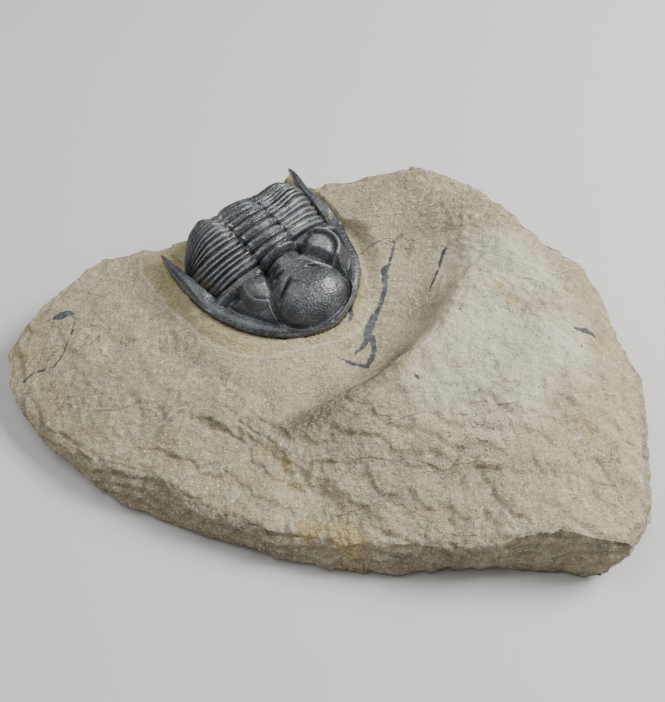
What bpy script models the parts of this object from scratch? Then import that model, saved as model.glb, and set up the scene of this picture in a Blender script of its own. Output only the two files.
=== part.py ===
"""A fossil trilobite, Hollardops, on the block of limestone it was found in.

Shapes are worked out in millimetres and become metres when their mesh is made. The block's frame
has +X to the viewer's right, +Y away from the viewer and +Z up, with the origin under its middle.
The animal has a frame of its own: x to its right, y forwards and z up from the bed it lies on.
"""

import math

import bmesh
import bpy
import numpy as np
from mathutils import Matrix, Vector, noise

MM = 0.001

# Head shield, millimetres
HEAD_LENGTH = 22.0
HEAD_HALF_WIDTH = 21.5
WIDEST_BEHIND_FRONT = 28.0
FRONT_POINTEDNESS = 1.15
SPINE_TIP = (19.6, -19.5)
SPINE_TIP_WIDTH = 0.5
CHEEK_CORNER = (17.3, -1.0)
EDGE_THICKNESS = 0.9
UNDERSIDE = -0.5
UNDERSIDE_BENDS = 2.5
BORDER_WIDTH = 3.2
FRONT_BORDER_WIDTH = 1.9
LIFTED_SPINE_RISE = 1.0
SIDE_PRESSED_IN = 1.6

# The glabella, the swollen middle of the head: y, half its width and its height on the midline
GLABELLA = (
    (1.6, 5.0, 7.0), (2.6, 4.8, 7.2), (3.8, 5.2, 7.35), (5.2, 6.0, 7.4), (7.5, 7.5, 7.4),
    (9.5, 8.6, 7.5), (11.5, 9.2, 7.55), (13.6, 9.35, 7.3), (15.4, 8.9, 6.6), (16.9, 8.1, 5.7),
    (18.2, 6.7, 4.6), (19.2, 5.0, 3.5), (20.0, 2.9, 2.4), (20.4, 0.6, 1.4),
)

# Its side furrows: inner and outer end, then depth and half width
SIDE_FURROWS = (
    ((2.4, 8.6), (9.4, 12.1), 1.4, 0.55),
    ((2.6, 5.8), (6.9, 6.2), 1.2, 0.5),
    ((2.8, 3.9), (6.0, 3.8), 1.1, 0.5),
)

# The lobes between them: place, half sizes and swelling
SIDE_LOBES = (
    ((6.0, 8.0), (2.6, 1.7), 0.6),
    ((4.8, 4.9), (1.5, 0.8), 0.5),
    ((4.4, 2.9), (1.2, 0.6), 0.5),
)

# The eyes: their middle, and their profile from it outwards as reach and height
EYE_CENTRE = (8.0, 5.4)
EYE_PROFILE = (
    (0.0, 6.7), (2.4, 6.95), (3.1, 6.8), (3.75, 7.5), (4.35, 6.9), (4.9, 5.4), (5.6, 4.2),
    (6.35, 1.5), (7.0, 0.0),
)

# Thorax and tail, millimetres
SEGMENTS = 11
SEGMENT_PITCH = 2.7
THORAX_HALF_WIDTH = 17.4
AXIS_HALF_WIDTH = 5.0
AXIS_HEIGHT = 8.8
PLEURA_HEIGHT = 6.7
TAIL_LENGTH = 11.5
TAIL_SPINES = 5
TAIL_RIBS = 8
THORAX_LENGTH = SEGMENTS * SEGMENT_PITCH

# How the body bends over the edge of the block
BEND_STARTS = 9.5
BEND_RADIUS = 11.5
FIRST_SLOPE = math.radians(-3)
LAST_SLOPE = math.radians(95)

# How far its flanks stand up and spread where the rock has pressed on them
LEFT_FLANK_RAISED = 2.6
RIGHT_FLANK_RAISED = 2.2
RIGHT_FLANK_WIDER = 1.0
BACK_FLATTENED = 0.9

# Fineness of the meshes
BLOCK_CELLS = (90, 64)
SIDE_ROWS = 5
BLOCK_FACES_KEPT = 0.19
HEAD_CELLS = (101, 27)
HEAD_FACES_KEPT = 0.34
BODY_COLUMNS = 21
ROWS_IN_SEGMENT = 4
TAIL_ROWS = 15
SHARP_FROM = math.radians(40)

# Colours, and the middle of the whole thing as it is modelled, which is set on the origin
LIMESTONE = (0.38, 0.33, 0.245)
SHELL = (0.02, 0.024, 0.03)
MIDDLE = (-2.967, -4.421)

# How the animal lies on the block
HEAD_FRONT = Vector((0.8, 2.0, 17.5))
HEADING = math.radians(220)
BED_SLOPE = math.radians(11)
POCKET_GAP = 0.6
POCKET_OPENS = 15.0
SPINE_ROOM_WIDENS = (-8.0, -13.0)
FLANK_IN_ROCK = (8.0, 12.5)

# The edge of the block's top face, going round clockwise from its left end: x, y and height
SHOULDER = (
    (-76, 3, 8), (-73, 10, 11), (-66, 18, 13), (-57, 27, 15), (-46, 28, 17), (-43, 27, 17.2),
    (-35, 28, 21), (-25, 32, 23), (-12.2, 43.3, 25.1), (-10.8, 46.3, 26), (-7, 41.9, 25),
    (-4.6, 39.8, 26.8), (-0.6, 40.4, 29), (3, 40, 31.1), (9, 40.2, 33.4), (19, 40, 34), (28, 37, 33),
    (40, 29, 31), (49, 21, 28), (58, 15, 25), (62, 5, 23), (65, -4, 20), (69, -12, 17),
    (69, -26, 15), (69, -34, 12), (67, -46, 10.5), (61, -54, 14), (54, -54, 16), (46, -52, 16.5),
    (34, -54, 14.5), (28, -54, 13), (20, -53, 11.5), (3, -51, 9.5), (-13, -48, 9.5),
    (-21, -45, 9.5), (-28, -42, 9.5), (-40, -34, 9.5), (-52, -30, 9), (-61, -23, 8),
    (-69, -15, 7.5), (-74, -6, 7.5),
)

# The lowest edge of its sides, going round the same way
FOOT = (
    (-77, 3, 5), (-74, 12, 4), (-67, 20, 3), (-58, 29, 2), (-47, 31, 1), (-37, 32, 0),
    (-28, 37, 0), (-13, 44, 0), (-1, 43, 0), (9, 43, 0), (19, 43, 0), (29, 40, 0), (41, 31, 0),
    (51, 23, 0), (60, 17, 0), (65, 6, 0), (68, -4, 0), (70, -12, 0), (69, -26, 1), (67, -36, 3),
    (65, -45, 6), (61, -52, 4), (57, -55, 1), (48, -53, 0), (36, -52, 0), (25, -52, 0),
    (14, -54, 0), (3, -53, 0), (-9, -51, 1), (-22, -47, 1), (-36, -41, 1), (-47, -36, 2),
    (-57, -29, 2), (-64, -23, 3), (-71, -15, 4), (-75, -8, 6),
)

# Heights inside the top face: the left lobe, the floor of the hollow and the bulge on the right
LEFT_LOBE = (
    (-56, 13, 14.5), (-54, -1, 13), (-53, -15, 11.5), (-67, 1, 10.5), (-62, -13, 9.5),
    (-43, 12, 16), (-42, -2, 14), (-41, -16, 12.5), (-40, -26, 11), (-29, -30, 12.8),
    (-26, -38, 10.5), (-16, -32, 12.5), (-13, -43, 11), (-3, -30, 14), (2, -44, 11.5),
)
HOLLOW_FLOOR = (
    (-42, 20, 19.5), (-35, 22, 20.5), (-30, -3, 15.5), (-30, -17, 14.2), (-17, -7, 16.2),
    (-16, -20, 14.8), (-3, -7, 16.5), (-4, -16.5, 15.2), (4, -11, 16.0), (9, -8.5, 16.7),
    (13, -4.5, 17.4), (17, -1, 18.2), (20, 4, 19.3), (13, 9, 19.2), (22.5, 10, 20.9), (17, 19, 22.8),
    (25, 19, 24.2), (16, 29, 27),
)
RIGHT_BULGE = (
    (11, -33, 17), (12, -43, 14), (16, 36, 31), (-1, -21.5, 17.3), (7, -19, 20.0),
    (15.5, -13.5, 22.6), (20.7, -9.5, 24.2), (24, -5, 25.3), (26.5, 0, 26.2), (29, 7, 27.2),
    (11, -27, 18.6), (21, -22, 21.8), (29, -12, 25.2), (33, -2, 27.0), (25, -32, 19.5),
    (24, -44, 15),
    (34, 16, 28.5), (28, 27, 30.5), (39, 21, 30),
    (44, 1, 28), (43, -15, 26), (42, -29, 23.5), (41, -42, 19), (58, -5, 24.5), (55, -23, 22.5),
    (54, -37, 19.5), (65, -21, 19), (63, -37, 16), (54, 8, 26.5),
)

# Steps where a flake has come away: the line, the drop on its right going along it, its reach
LEDGES = (
    (((-34, -18), (-23.5, -24), (-18, -27.5), (-12, -31), (-7, -35.5), (-2, -40), (5, -46)), 1.9, 6),
    (((-50, -31), (-40, -26), (-34.4, -19)), -0.9, 5),
    (((-55, -1), (-47, -11), (-41, -18), (-33, -23)), 0.7, 5),
    (((25, -44), (33, -38), (40, -40), (47, -36)), 0.8, 4),
    (((8, -38), (16, -33), (24, -35), (31, -30)), 0.7, 4),
    (((33, 24), (46, 12), (52, 5), (53.5, -6)), -0.8, 4),
)

# Soft valleys: the line, then how deep and how wide
VALLEYS = (
    (((-45.4, 9), (-38.8, -1), (-33, -7), (-24.6, -13.5), (-15, -16.8), (-4, -19)), 0.8, 3.2),
    (((-58, 8), (-51, -2), (-44, -9), (-37, -13)), 0.6, 2.6),
    (((-46, 16), (-40, 8), (-36, 2)), 0.5, 2.4),
    (((-30, -26), (-22, -30), (-14, -37)), 0.5, 2.5),
    (((17, -30), (27, -27), (36, -20)), 0.5, 3.0),
)

# The steep wall on the right of the hollow, along the middle of its slope
HOLLOW_WALL = (
    (-12, -21), (-3.5, -19.8), (3.2, -17.6), (9, -14.6), (14, -11), (18.2, -7), (21.5, -2.6),
    (23.8, 1.8), (25.4, 6.5), (27, 12),
)
WALL_RISE = 1.7

ROUGHNESS = ((14.0, 0.55), (5.0, 0.3))
SIDE_ROUGHNESS = 0.8
BLOCK_MIDDLE = (0, -8)
BASE_CUT = 2.0


def smoothstep(low, high, value):
    t = np.clip((value - low) / (high - low), 0.0, 1.0)
    return t * t * (3 - 2 * t)


def soft_max(a, b, width):
    """The larger of two heights, with the crease between them rounded over width."""
    blend = np.clip(0.5 + 0.5 * (a - b) / width, 0.0, 1.0)
    return b + (a - b) * blend + width * blend * (1 - blend)


def soft_min(a, b, width):
    return -soft_max(-a, -b, width)


def bell(distance, width):
    return np.exp(-((distance / width) ** 2))


def dome(radius_squared, sharpness=0.5):
    """1 in the middle and 0 where radius_squared reaches 1."""
    return np.clip(1 - radius_squared, 0.0, 1.0) ** sharpness


def along(points, fractions):
    """Places on a polyline at these shares of its length."""
    steps = np.linalg.norm(np.diff(points, axis=0), axis=1)
    reach = np.concatenate([[0.0], np.cumsum(steps)])
    where = np.asarray(fractions) * reach[-1]
    return np.stack([np.interp(where, reach, points[:, i]) for i in range(2)], axis=-1)


def distance_to(line, x, y):
    """How far each place is from a polyline."""
    nearest = np.full(x.shape, 1e9)
    for (ax, ay), (bx, by) in zip(line, line[1:]):
        run_x, run_y = bx - ax, by - ay
        t = np.clip(((x - ax) * run_x + (y - ay) * run_y) / (run_x**2 + run_y**2), 0, 1)
        nearest = np.minimum(nearest, (x - ax - t * run_x) ** 2 + (y - ay - t * run_y) ** 2)
    return np.sqrt(nearest)


def side_of(line, x, y):
    """Signed distance from a line, more than nothing on its right, and how far along it is."""
    side = np.zeros(x.shape)
    travelled = np.zeros(x.shape)
    nearest = np.full(x.shape, 1e9)
    before = 0.0
    for (ax, ay), (bx, by) in zip(line, line[1:]):
        length = math.hypot(bx - ax, by - ay)
        ux, uy = (bx - ax) / length, (by - ay) / length
        t = np.clip((x - ax) * ux + (y - ay) * uy, 0, length)
        away = np.hypot(x - ax - t * ux, y - ay - t * uy)
        right = (x - ax) * uy - (y - ay) * ux
        closer = away < nearest
        side = np.where(closer, np.where(right > 0, away, -away), side)
        travelled = np.where(closer, before + t, travelled)
        nearest = np.where(closer, away, nearest)
        before += length
    return side, travelled, before


def outer_margin(samples=120):
    """The right half of the head's edge, from the middle of its front to the tip of the cheek spine."""
    turn = np.linspace(0, math.pi / 2, samples)
    front = np.stack(
        [
            HEAD_HALF_WIDTH * np.sin(turn) ** FRONT_POINTEDNESS,
            HEAD_LENGTH - WIDEST_BEHIND_FRONT * (1 - np.cos(turn)),
        ],
        axis=1,
    )
    widest_y = HEAD_LENGTH - WIDEST_BEHIND_FRONT
    t = np.linspace(0, 1, samples // 2)[1:]
    tip_x, tip_y = SPINE_TIP[0] + SPINE_TIP_WIDTH / 2, SPINE_TIP[1]
    spine = np.stack(
        [HEAD_HALF_WIDTH + (tip_x - HEAD_HALF_WIDTH) * t**2, widest_y + (tip_y - widest_y) * t],
        axis=1,
    )
    return np.concatenate([front, spine])


def inner_margin(samples=60):
    """The right half of the head's back edge, from the middle to the tip of the cheek spine."""
    corner_x, corner_y = CHEEK_CORNER
    t = np.linspace(0, 1, samples)
    back = np.stack([corner_x * t, corner_y * t**4], axis=1)
    tip_x = SPINE_TIP[0] - SPINE_TIP_WIDTH / 2
    spine = np.stack(
        [corner_x + (tip_x - corner_x) * t**1.5, corner_y + (SPINE_TIP[1] - corner_y) * t], axis=1
    )[1:]
    return np.concatenate([back, spine])


def head_grid(columns, rows):
    """Places over the head, from the back edge to the front one, in columns from spine to spine."""
    share = np.linspace(-1, 1, columns)
    side = np.where(share < 0, -1.0, 1.0)[:, None]
    reach = np.abs(share)
    inner = along(inner_margin(), reach)
    outer = along(outer_margin(), np.interp(reach, [0, 0.47, 0.61, 1], [0, 0.6, 0.73, 1]))
    across = np.linspace(0, 1, rows)
    places = inner[:, None, :] * (1 - across)[None, :, None] + outer[:, None, :] * across[None, :, None]
    x = places[..., 0] * side
    return x, places[..., 1], np.broadcast_to(across, x.shape), reach[:, None] + 0 * x


def smooth_curve(points, at, column=1, spread=0.5):
    """One of the values of a table of points, read between them with its corners rounded."""
    table = np.array(points, dtype=float)
    reads = [np.interp(at + k * spread / 2, table[:, 0], table[:, column]) for k in range(-2, 3)]
    return sum(reads) / len(reads)


def glabella_height(x, y):
    """The swollen middle of the head: the front lobe, the lobes behind it and the neck ring."""
    a = np.abs(x)
    width = smooth_curve(GLABELLA, y)
    top = smooth_curve(GLABELLA, y, 2)
    height = 1.2 + (top - 1.2) * np.clip(1 - (a / width) ** 2.5, 0, 1) ** 0.55
    for (centre_x, centre_y), (half_x, half_y), swelling in SIDE_LOBES:
        away = ((a - centre_x) / half_x) ** 2 + ((y - centre_y) / half_y) ** 2
        height = height + swelling * np.exp(-away)
    for (inner_x, inner_y), (outer_x, outer_y), depth, half in SIDE_FURROWS:
        t = np.clip((a - inner_x) / (outer_x - inner_x), 0, 1)
        line = inner_y + (outer_y - inner_y) * t**1.2
        slot = bell(y - line, half * (0.7 + 0.5 * t)) * smoothstep(inner_x - 0.9, inner_x + 1.6, a)
        height = height - depth * slot * smoothstep(0.0, 0.3, height - 1.2)
    height = height - 9 * smoothstep(2.5, 1.5, y) - 9 * smoothstep(20.4, 20.9, y)
    return soft_max(height, neck_ring(a, y), 0.25)


def neck_ring(a, y):
    ring = 8.5 * dome((a / 5.8) ** 2, 0.3) * dome(((y - 0.6) / 1.5) ** 2, 0.3)
    nodes = 0.4 * bell(a, 0.6) * bell(y - 0.3, 0.55) + 0.45 * bell(a - 4.3, 0.8) * bell(y - 0.9, 0.8)
    return ring + nodes * (ring > 6)


def eye_reach(x, y):
    """Distance from the middle of an eye, and the direction from it in degrees, 0 outwards."""
    away_x, away_y = np.abs(x) - EYE_CENTRE[0], y - EYE_CENTRE[1]
    return np.hypot(away_x, 0.95 * away_y), np.degrees(np.arctan2(away_y, away_x)) + 6


def eye_height(x, y, ground):
    """The tall kidney-shaped eyes: a dished lid, the band of lenses round it and its foot."""
    reach, turn = eye_reach(x, y)
    window = smoothstep(118, 84, np.abs(turn))
    lower = 0.9 * smoothstep(40, 100, np.abs(turn))
    profile = smooth_curve(EYE_PROFILE, reach, 1, 0.14) - lower
    from_furrow = np.abs(x) - smooth_curve(GLABELLA, y)
    inner = smoothstep(-0.3, 2.4, from_furrow)
    profile = np.where(reach < 3.2, profile - 1.4 * smoothstep(2.2, 0.2, from_furrow), profile)
    return ground + (np.maximum(profile, ground) - ground) * window * inner


def head_height(x, y, across, reach):
    """Height of the head's upper surface over its bed."""
    a = np.abs(x)
    edge = outer_margin()
    from_edge = np.minimum(distance_to(edge[::3], a, y), distance_to(edge[::3], -a, y))
    border = FRONT_BORDER_WIDTH + (BORDER_WIDTH - FRONT_BORDER_WIDTH) * smoothstep(6, 15, a)
    inside = from_edge - border
    roll = EDGE_THICKNESS + 1.3 * dome((1 - np.clip(from_edge / (0.75 * border), 0, 1)) ** 2, 0.5)
    cheek = 1.6 + 3.6 * (1 - (1 - np.clip(inside / 9.5, 0, 1)) ** 1.7)
    cheek = cheek - 0.7 * bell(inside - 0.1, 0.8)
    ground = np.where(inside < 0, soft_min(roll, 2.2 - 0.55 * bell(inside, 0.8), 0.3), cheek)
    outline = np.array(GLABELLA)
    outside = distance_to(np.stack([outline[:, 1], outline[:, 0]], axis=1), a, y)
    outside = np.where(a < smooth_curve(GLABELLA, y), -outside, outside)
    ground = ground - 1.0 * bell(outside, 0.6) * smoothstep(21, 18, y)
    ridge = (1.7 + 3.4 * dome((a / 18.5) ** 2, 0.7)) * dome(((y - 0.55) / 1.5) ** 2, 0.3)
    back = smoothstep(-6, -1, y)
    ground = ground - 1.5 * bell(y - 2.6, 0.75) * smoothstep(17.5, 13, a)
    ground = soft_max(ground, ridge * back, 0.3)
    ground = eye_height(x, y, ground)
    head = soft_max(ground, glabella_height(x, y), 0.25)
    spine = EDGE_THICKNESS * 0.6 + (2.4 * (1 - reach) / 0.4 + 0.5) * dome((2 * across - 1) ** 2, 0.5)
    on_spine = smoothstep(-0.5, -5.0, y)
    head = head * (1 - on_spine) + np.minimum(spine, 2.9) * on_spine
    return np.maximum(head, EDGE_THICKNESS * 0.6)


def pressed(x, y):
    """The left half of the head is pressed in a little along its side."""
    along_side = smoothstep(16, 6, y) * smoothstep(-19, -11, y)
    return x + SIDE_PRESSED_IN * smoothstep(13, 20.5, -x) * along_side


def spine_lift(x, y):
    """The left cheek spine stands off the bed towards its tip."""
    return LIFTED_SPINE_RISE * smoothstep(-1, -19, y) * (x < 0)


def back_line(s):
    """(y, z, slope) of the animal's back, at the height of its rings, s behind the head."""
    arc = BEND_RADIUS * (LAST_SLOPE - FIRST_SLOPE)
    before = np.minimum(s, BEND_STARTS)
    slope = FIRST_SLOPE + np.clip(s - BEND_STARTS, 0, arc) / BEND_RADIUS
    after = np.maximum(s - BEND_STARTS - arc, 0)
    y = -before * math.cos(FIRST_SLOPE) - BEND_RADIUS * (np.sin(slope) - math.sin(FIRST_SLOPE))
    z = AXIS_HEIGHT - before * math.sin(FIRST_SLOPE) - BEND_RADIUS * (math.cos(FIRST_SLOPE) - np.cos(slope))
    return y - after * math.cos(LAST_SLOPE), z - after * math.sin(LAST_SLOPE), slope


def tail_share(p):
    """0 in front of the tail shield and 1 at its end, p along the body."""
    return np.clip((p - THORAX_LENGTH) / TAIL_LENGTH, 0, 1)


def axis_half_width(p):
    return AXIS_HALF_WIDTH * (1 - 0.12 * p / THORAX_LENGTH) * (1 - 0.75 * tail_share(p))


def body_half_width(p):
    """Half the width of the thorax and tail, with a point on each segment and the tail's spines."""
    t = tail_share(p)
    gap = (p / SEGMENT_PITCH + 0.5) % 1 - 0.5
    thorax = THORAX_HALF_WIDTH - 0.8 * smoothstep(0, THORAX_LENGTH, p)
    thorax = thorax - 0.5 * bell(gap, 0.14)
    tail = (THORAX_HALF_WIDTH - 0.8) * (1 - t**1.7) ** 0.75
    tooth = (t * (TAIL_SPINES + 0.5)) % 1
    tail = tail + 1.3 * tooth**1.5 * smoothstep(0, 0.12, t) * (1 - 0.4 * t)
    return np.where(t > 0, np.maximum(tail, 0.6), thorax)


def swept(p, out, a):
    """How far along the body a place is, where the ribs curve back and the rings curve forwards."""
    t = tail_share(p)
    back = (0.9 + 2.2 * p / THORAX_LENGTH + 2.0 * t) * (1 - t**2) * np.clip(out, 0, 1) ** 1.6
    forward = 0.5 * np.clip(1 - (a / axis_half_width(p)) ** 2, 0, 1) * (1 - t)
    return p + back - forward


def body_height(p, v, half_width):
    """Height of the thorax and tail over their bed, p along and v across."""
    a = np.abs(v)
    t = tail_share(p)
    axis = axis_half_width(p)
    out = np.clip((a - axis) / np.maximum(half_width - axis, 0.1), 0, 1)
    place = np.where(t > 0, t * TAIL_RIBS, p / SEGMENT_PITCH) % 1
    gap = np.minimum(place, 1 - place)
    ribs = -0.85 * bell(gap, 0.13) - 0.5 * bell(place - 0.45 - 0.1 * out, 0.11)
    ribs = ribs * (1 - 0.4 * t) * smoothstep(1.02, 0.85, out * t) * smoothstep(0, 0.08, out)
    side_height = PLEURA_HEIGHT * (1 - 0.35 * t)
    flank = side_height * np.clip(1 - out**2.3, 0, 1) ** 0.8 + ribs
    top = AXIS_HEIGHT - (AXIS_HEIGHT - 3.4) * t**1.3 - BACK_FLATTENED * smoothstep(6, 15, p)
    node = 0.5 * bell(a - axis * 0.8, 0.8) * (1 - t)
    shoulder = side_height * 0.9
    crown = shoulder + (top - shoulder) * dome((a / axis) ** 2, 0.5) + node
    crown = crown - 1.0 * bell(gap, 0.15) * (1 - 0.55 * t)
    furrow = 0.9 * bell(a - axis - 0.1, 0.5) * (1 - 0.6 * t)
    height = np.where(a < axis, crown, flank - furrow)
    height = height - 2.2 * smoothstep(0.9, -0.4, p)
    return np.maximum(height * (1 - 0.85 * smoothstep(0.9, 1.0, t)), 0.05)


def flank_raised(v, s):
    """The flanks stand higher where the thorax bends down: the left by its tips, the right inside."""
    left = LEFT_FLANK_RAISED * smoothstep(-8, -15, v) * smoothstep(2, 12, s)
    right = RIGHT_FLANK_RAISED * smoothstep(4, 8, v) * smoothstep(17, 11, v) * smoothstep(5, 14, s)
    return (left + right) * smoothstep(36, 22, s)


def flank_wider(v, s):
    """The right flank is spread out a little behind its first segments."""
    return RIGHT_FLANK_WIDER * smoothstep(11, 17, v) * smoothstep(2, 8, s) * smoothstep(36, 24, s)


def body_point(v, s, height):
    """The animal's own x, y and z of a place v across, s along and height over the bed."""
    y, z, slope = back_line(s)
    above = height - AXIS_HEIGHT
    return v, y - above * np.sin(slope), z + above * np.cos(slope)


def specimen_matrix():
    """Where the animal lies on the block, in millimetres."""
    turn = Matrix.Rotation(BED_SLOPE, 4, "X") @ Matrix.Rotation(HEADING, 4, "Z")
    return Matrix.Translation(HEAD_FRONT) @ turn @ Matrix.Translation((0, -HEAD_LENGTH, 0))


def in_block(matrix, x, y, z):
    """Places in the animal's frame as places in the block's, one row each."""
    points = np.stack([np.ravel(x), np.ravel(y), np.ravel(z), np.ones(np.size(x))], axis=1)
    return (points @ np.array(matrix).T)[:, :3]


def sheet_faces(columns, rows, start, flip):
    """Quads over a grid of points, column by column."""
    faces = []
    for i in range(columns - 1):
        for j in range(rows - 1):
            a = start + i * rows + j
            quad = (a, a + rows, a + rows + 1, a + 1)
            faces.append(quad[::-1] if flip else quad)
    return faces


def closed_sheet(name, top, under, columns, rows):
    """One closed solid between an upper and a lower grid of points with the same layout."""
    count = columns * rows
    faces = sheet_faces(columns, rows, 0, False) + sheet_faces(columns, rows, count, True)
    ring = [i * rows for i in range(columns)]
    ring += [(columns - 1) * rows + j for j in range(1, rows)]
    ring += [i * rows + rows - 1 for i in range(columns - 2, -1, -1)]
    ring += [j for j in range(rows - 2, 0, -1)]
    for a, b in zip(ring, ring[1:] + ring[:1]):
        faces.append((b, a, a + count, b + count))
    mesh = bpy.data.meshes.new(name)
    mesh.from_pydata((np.concatenate([top, under]) * MM).tolist(), [], faces)
    made = bmesh.new()
    made.from_mesh(mesh)
    made.faces.ensure_lookup_table()
    cells = (columns - 1) * (rows - 1)
    under_edges = {edge for face in made.faces[cells : 2 * cells] for edge in face.edges}
    rim = {edge for face in made.faces[2 * cells :] for edge in face.edges}
    made.edges.index_update()
    inner = sorted(under_edges - rim, key=lambda edge: edge.index)
    bmesh.ops.dissolve_limit(made, angle_limit=math.radians(UNDERSIDE_BENDS), edges=inner)
    bmesh.ops.recalc_face_normals(made, faces=made.faces)
    made.to_mesh(mesh)
    made.free()
    obj = bpy.data.objects.new(name, mesh)
    bpy.context.scene.collection.objects.link(obj)
    return obj


def head_solid(name, columns, rows):
    x, y, across, reach = head_grid(columns, rows)
    lift = spine_lift(x, y)
    height = head_height(x, y, across, reach) + lift
    x = pressed(x, y)
    top = in_block(specimen_matrix(), x, y, height)
    under = in_block(specimen_matrix(), x, y, UNDERSIDE + lift)
    return closed_sheet(name, top, under, columns, rows)


def body_solid(name, columns, rows_in_segment, tail_rows):
    rows = np.concatenate(
        [
            np.arange(-rows_in_segment, SEGMENTS * rows_in_segment) * SEGMENT_PITCH / rows_in_segment,
            np.linspace(THORAX_LENGTH, THORAX_LENGTH + TAIL_LENGTH, tail_rows),
        ]
    )
    across = np.linspace(-1, 1, columns)[:, None]
    p = rows[None, :] + 0 * across
    half_width = body_half_width(p)
    v = across * half_width
    axis = axis_half_width(p)
    s = swept(p, (np.abs(v) - axis) / np.maximum(half_width - axis, 0.1), np.abs(v))
    height = body_height(p, v, half_width) + flank_raised(v, s)
    v = v + flank_wider(v, s)
    place = specimen_matrix()
    top = in_block(place, *body_point(v, s, height))
    straight = swept(p, 1.0, half_width)
    under = in_block(place, *body_point(v, straight, np.full_like(v, UNDERSIDE)))
    return closed_sheet(name, top, under, columns, len(rows))


def head_pocket(name, columns):
    """The room that the head takes up in the block, with a gap all round, and open above."""
    rows = 4
    x, y, across, reach = head_grid(columns, rows)
    x = pressed(x, y)
    width = np.hypot(x[:, -1] - x[:, 0], y[:, -1] - y[:, 0])[:, None]
    inside_spines = 1 + (1 - across) * smoothstep(*SPINE_ROOM_WIDENS, y)
    past = (across - 0.5) * 2 * POCKET_GAP * inside_spines / width
    grow_x, grow_y = (x[:, -1] - x[:, 0])[:, None], (y[:, -1] - y[:, 0])[:, None]
    x, y = x + past * grow_x, y + past * grow_y - POCKET_GAP * smoothstep(0.9, 1.0, reach)
    floor = np.full_like(x, UNDERSIDE - POCKET_GAP)
    place = specimen_matrix()
    top = in_block(place, x, y, floor + POCKET_OPENS)
    return closed_sheet(name, top, in_block(place, x, y, floor), columns, rows)


def body_pocket(name, columns, rows):
    """The room of the thorax and tail: open behind them, but closed over their right flank."""
    total = THORAX_LENGTH + TAIL_LENGTH
    across = np.linspace(-1, 1, columns)[:, None]
    s = np.linspace(-4, total + POCKET_GAP, rows)[None, :] + 0 * across
    half_width = np.interp(s, [0, total - 8, total - 3, total + 1], [THORAX_HALF_WIDTH] * 2 + [15.0, 11.5])
    v = across * (half_width + 2 * POCKET_GAP)
    v = v + flank_wider(v, s)
    out = np.clip((np.abs(v) - AXIS_HALF_WIDTH) / (half_width - AXIS_HALF_WIDTH), 0, 1)
    skin = np.where(v < AXIS_HALF_WIDTH, AXIS_HEIGHT, PLEURA_HEIGHT * (1 - out**2.3) ** 0.8) + 1.0
    skin = skin + flank_raised(v, s)
    bent = smoothstep(BEND_STARTS, BEND_STARTS + 8, s)
    covered = smoothstep(*FLANK_IN_ROCK, v) * bent
    top = skin + POCKET_OPENS * (1 - covered)
    place = specimen_matrix()
    over = in_block(place, *body_point(v, s, top))
    under = in_block(place, *body_point(v, s, np.full_like(v, UNDERSIDE - POCKET_GAP)))
    return closed_sheet(name, over, under, columns, rows)


def around(ring, samples):
    """x, y and z at evenly spaced places round a closed edge."""
    points = np.array(ring, dtype=float)
    closed = np.concatenate([points, points[:1]])
    turn = np.arctan2(points[:, 1] - BLOCK_MIDDLE[1], points[:, 0] - BLOCK_MIDDLE[0])
    turn = np.unwrap(-np.concatenate([turn, turn[:1]]))
    wanted = turn[0] + np.arange(samples) / samples * 2 * math.pi
    return np.stack([np.interp(wanted, turn, closed[:, i]) for i in range(3)], axis=1)


def thin_plate(points, x, y):
    """A smooth surface through all the points, read at x and y."""
    known = np.array(points, dtype=float)
    xy, z = known[:, :2] / 50, known[:, 2]

    def kernel(a, b):
        r2 = ((a[:, None, :] - b[None, :, :]) ** 2).sum(axis=2) + 1e-9
        return 0.5 * r2 * np.log(r2)

    count = len(xy)
    flat = np.concatenate([np.ones((count, 1)), xy], axis=1)
    system = np.zeros((count + 3, count + 3))
    system[:count, :count] = kernel(xy, xy)
    system[:count, count:] = flat
    system[count:, :count] = flat.T
    weights = np.linalg.solve(system, np.concatenate([z, np.zeros(3)]))
    wanted = np.stack([np.ravel(x), np.ravel(y)], axis=1) / 50
    height = kernel(wanted, xy) @ weights[:count]
    height = height + np.concatenate([np.ones((len(wanted), 1)), wanted], axis=1) @ weights[count:]
    return height.reshape(np.shape(x))


def rough(points, scale, offset=0.0):
    """Smooth random values between about -1 and 1, one for each point."""
    shift = Vector((offset, 2 * offset, -offset))
    return np.array([noise.noise(Vector(p) / scale + shift) for p in points]) * 2


def ledge(line, drop, reach, x, y):
    """A step down along the right of a line, which fades out away from it and at its ends."""
    side, travelled, length = side_of(line, x, y)
    ends = smoothstep(0, 0.2 * length, travelled) * smoothstep(length, 0.8 * length, travelled)
    return -drop * smoothstep(-0.8, 0.8, side) * np.exp(-np.abs(side) / reach) * ends


def valley(line, depth, width, x, y):
    side, travelled, length = side_of(line, x, y)
    ends = smoothstep(0, 0.3 * length, travelled) * smoothstep(length, 0.7 * length, travelled)
    return -depth * np.exp(-((side / width) ** 2)) * ends


def wall_step(x, y):
    """Sharpens the wall of the hollow: raised on its right, lowered on its left."""
    side, travelled, length = side_of(HOLLOW_WALL, x, y)
    ends = smoothstep(0, 0.35 * length, travelled) * smoothstep(length, 0.6 * length, travelled)
    return WALL_RISE * np.tanh(side / 1.6) * np.exp(-np.abs(side) / 8.0) * ends


def bed_height(x, y):
    """Height of the bed that the animal lies on, at places on the block."""
    axes = np.array(specimen_matrix())
    plane = np.linalg.inv(axes[:2, :2])
    away = np.stack([x - axes[0, 3], y - axes[1, 3]], axis=-1)
    own = away @ plane.T
    return axes[2, 3] + own @ axes[2, :2], own[..., 0], own[..., 1]


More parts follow.
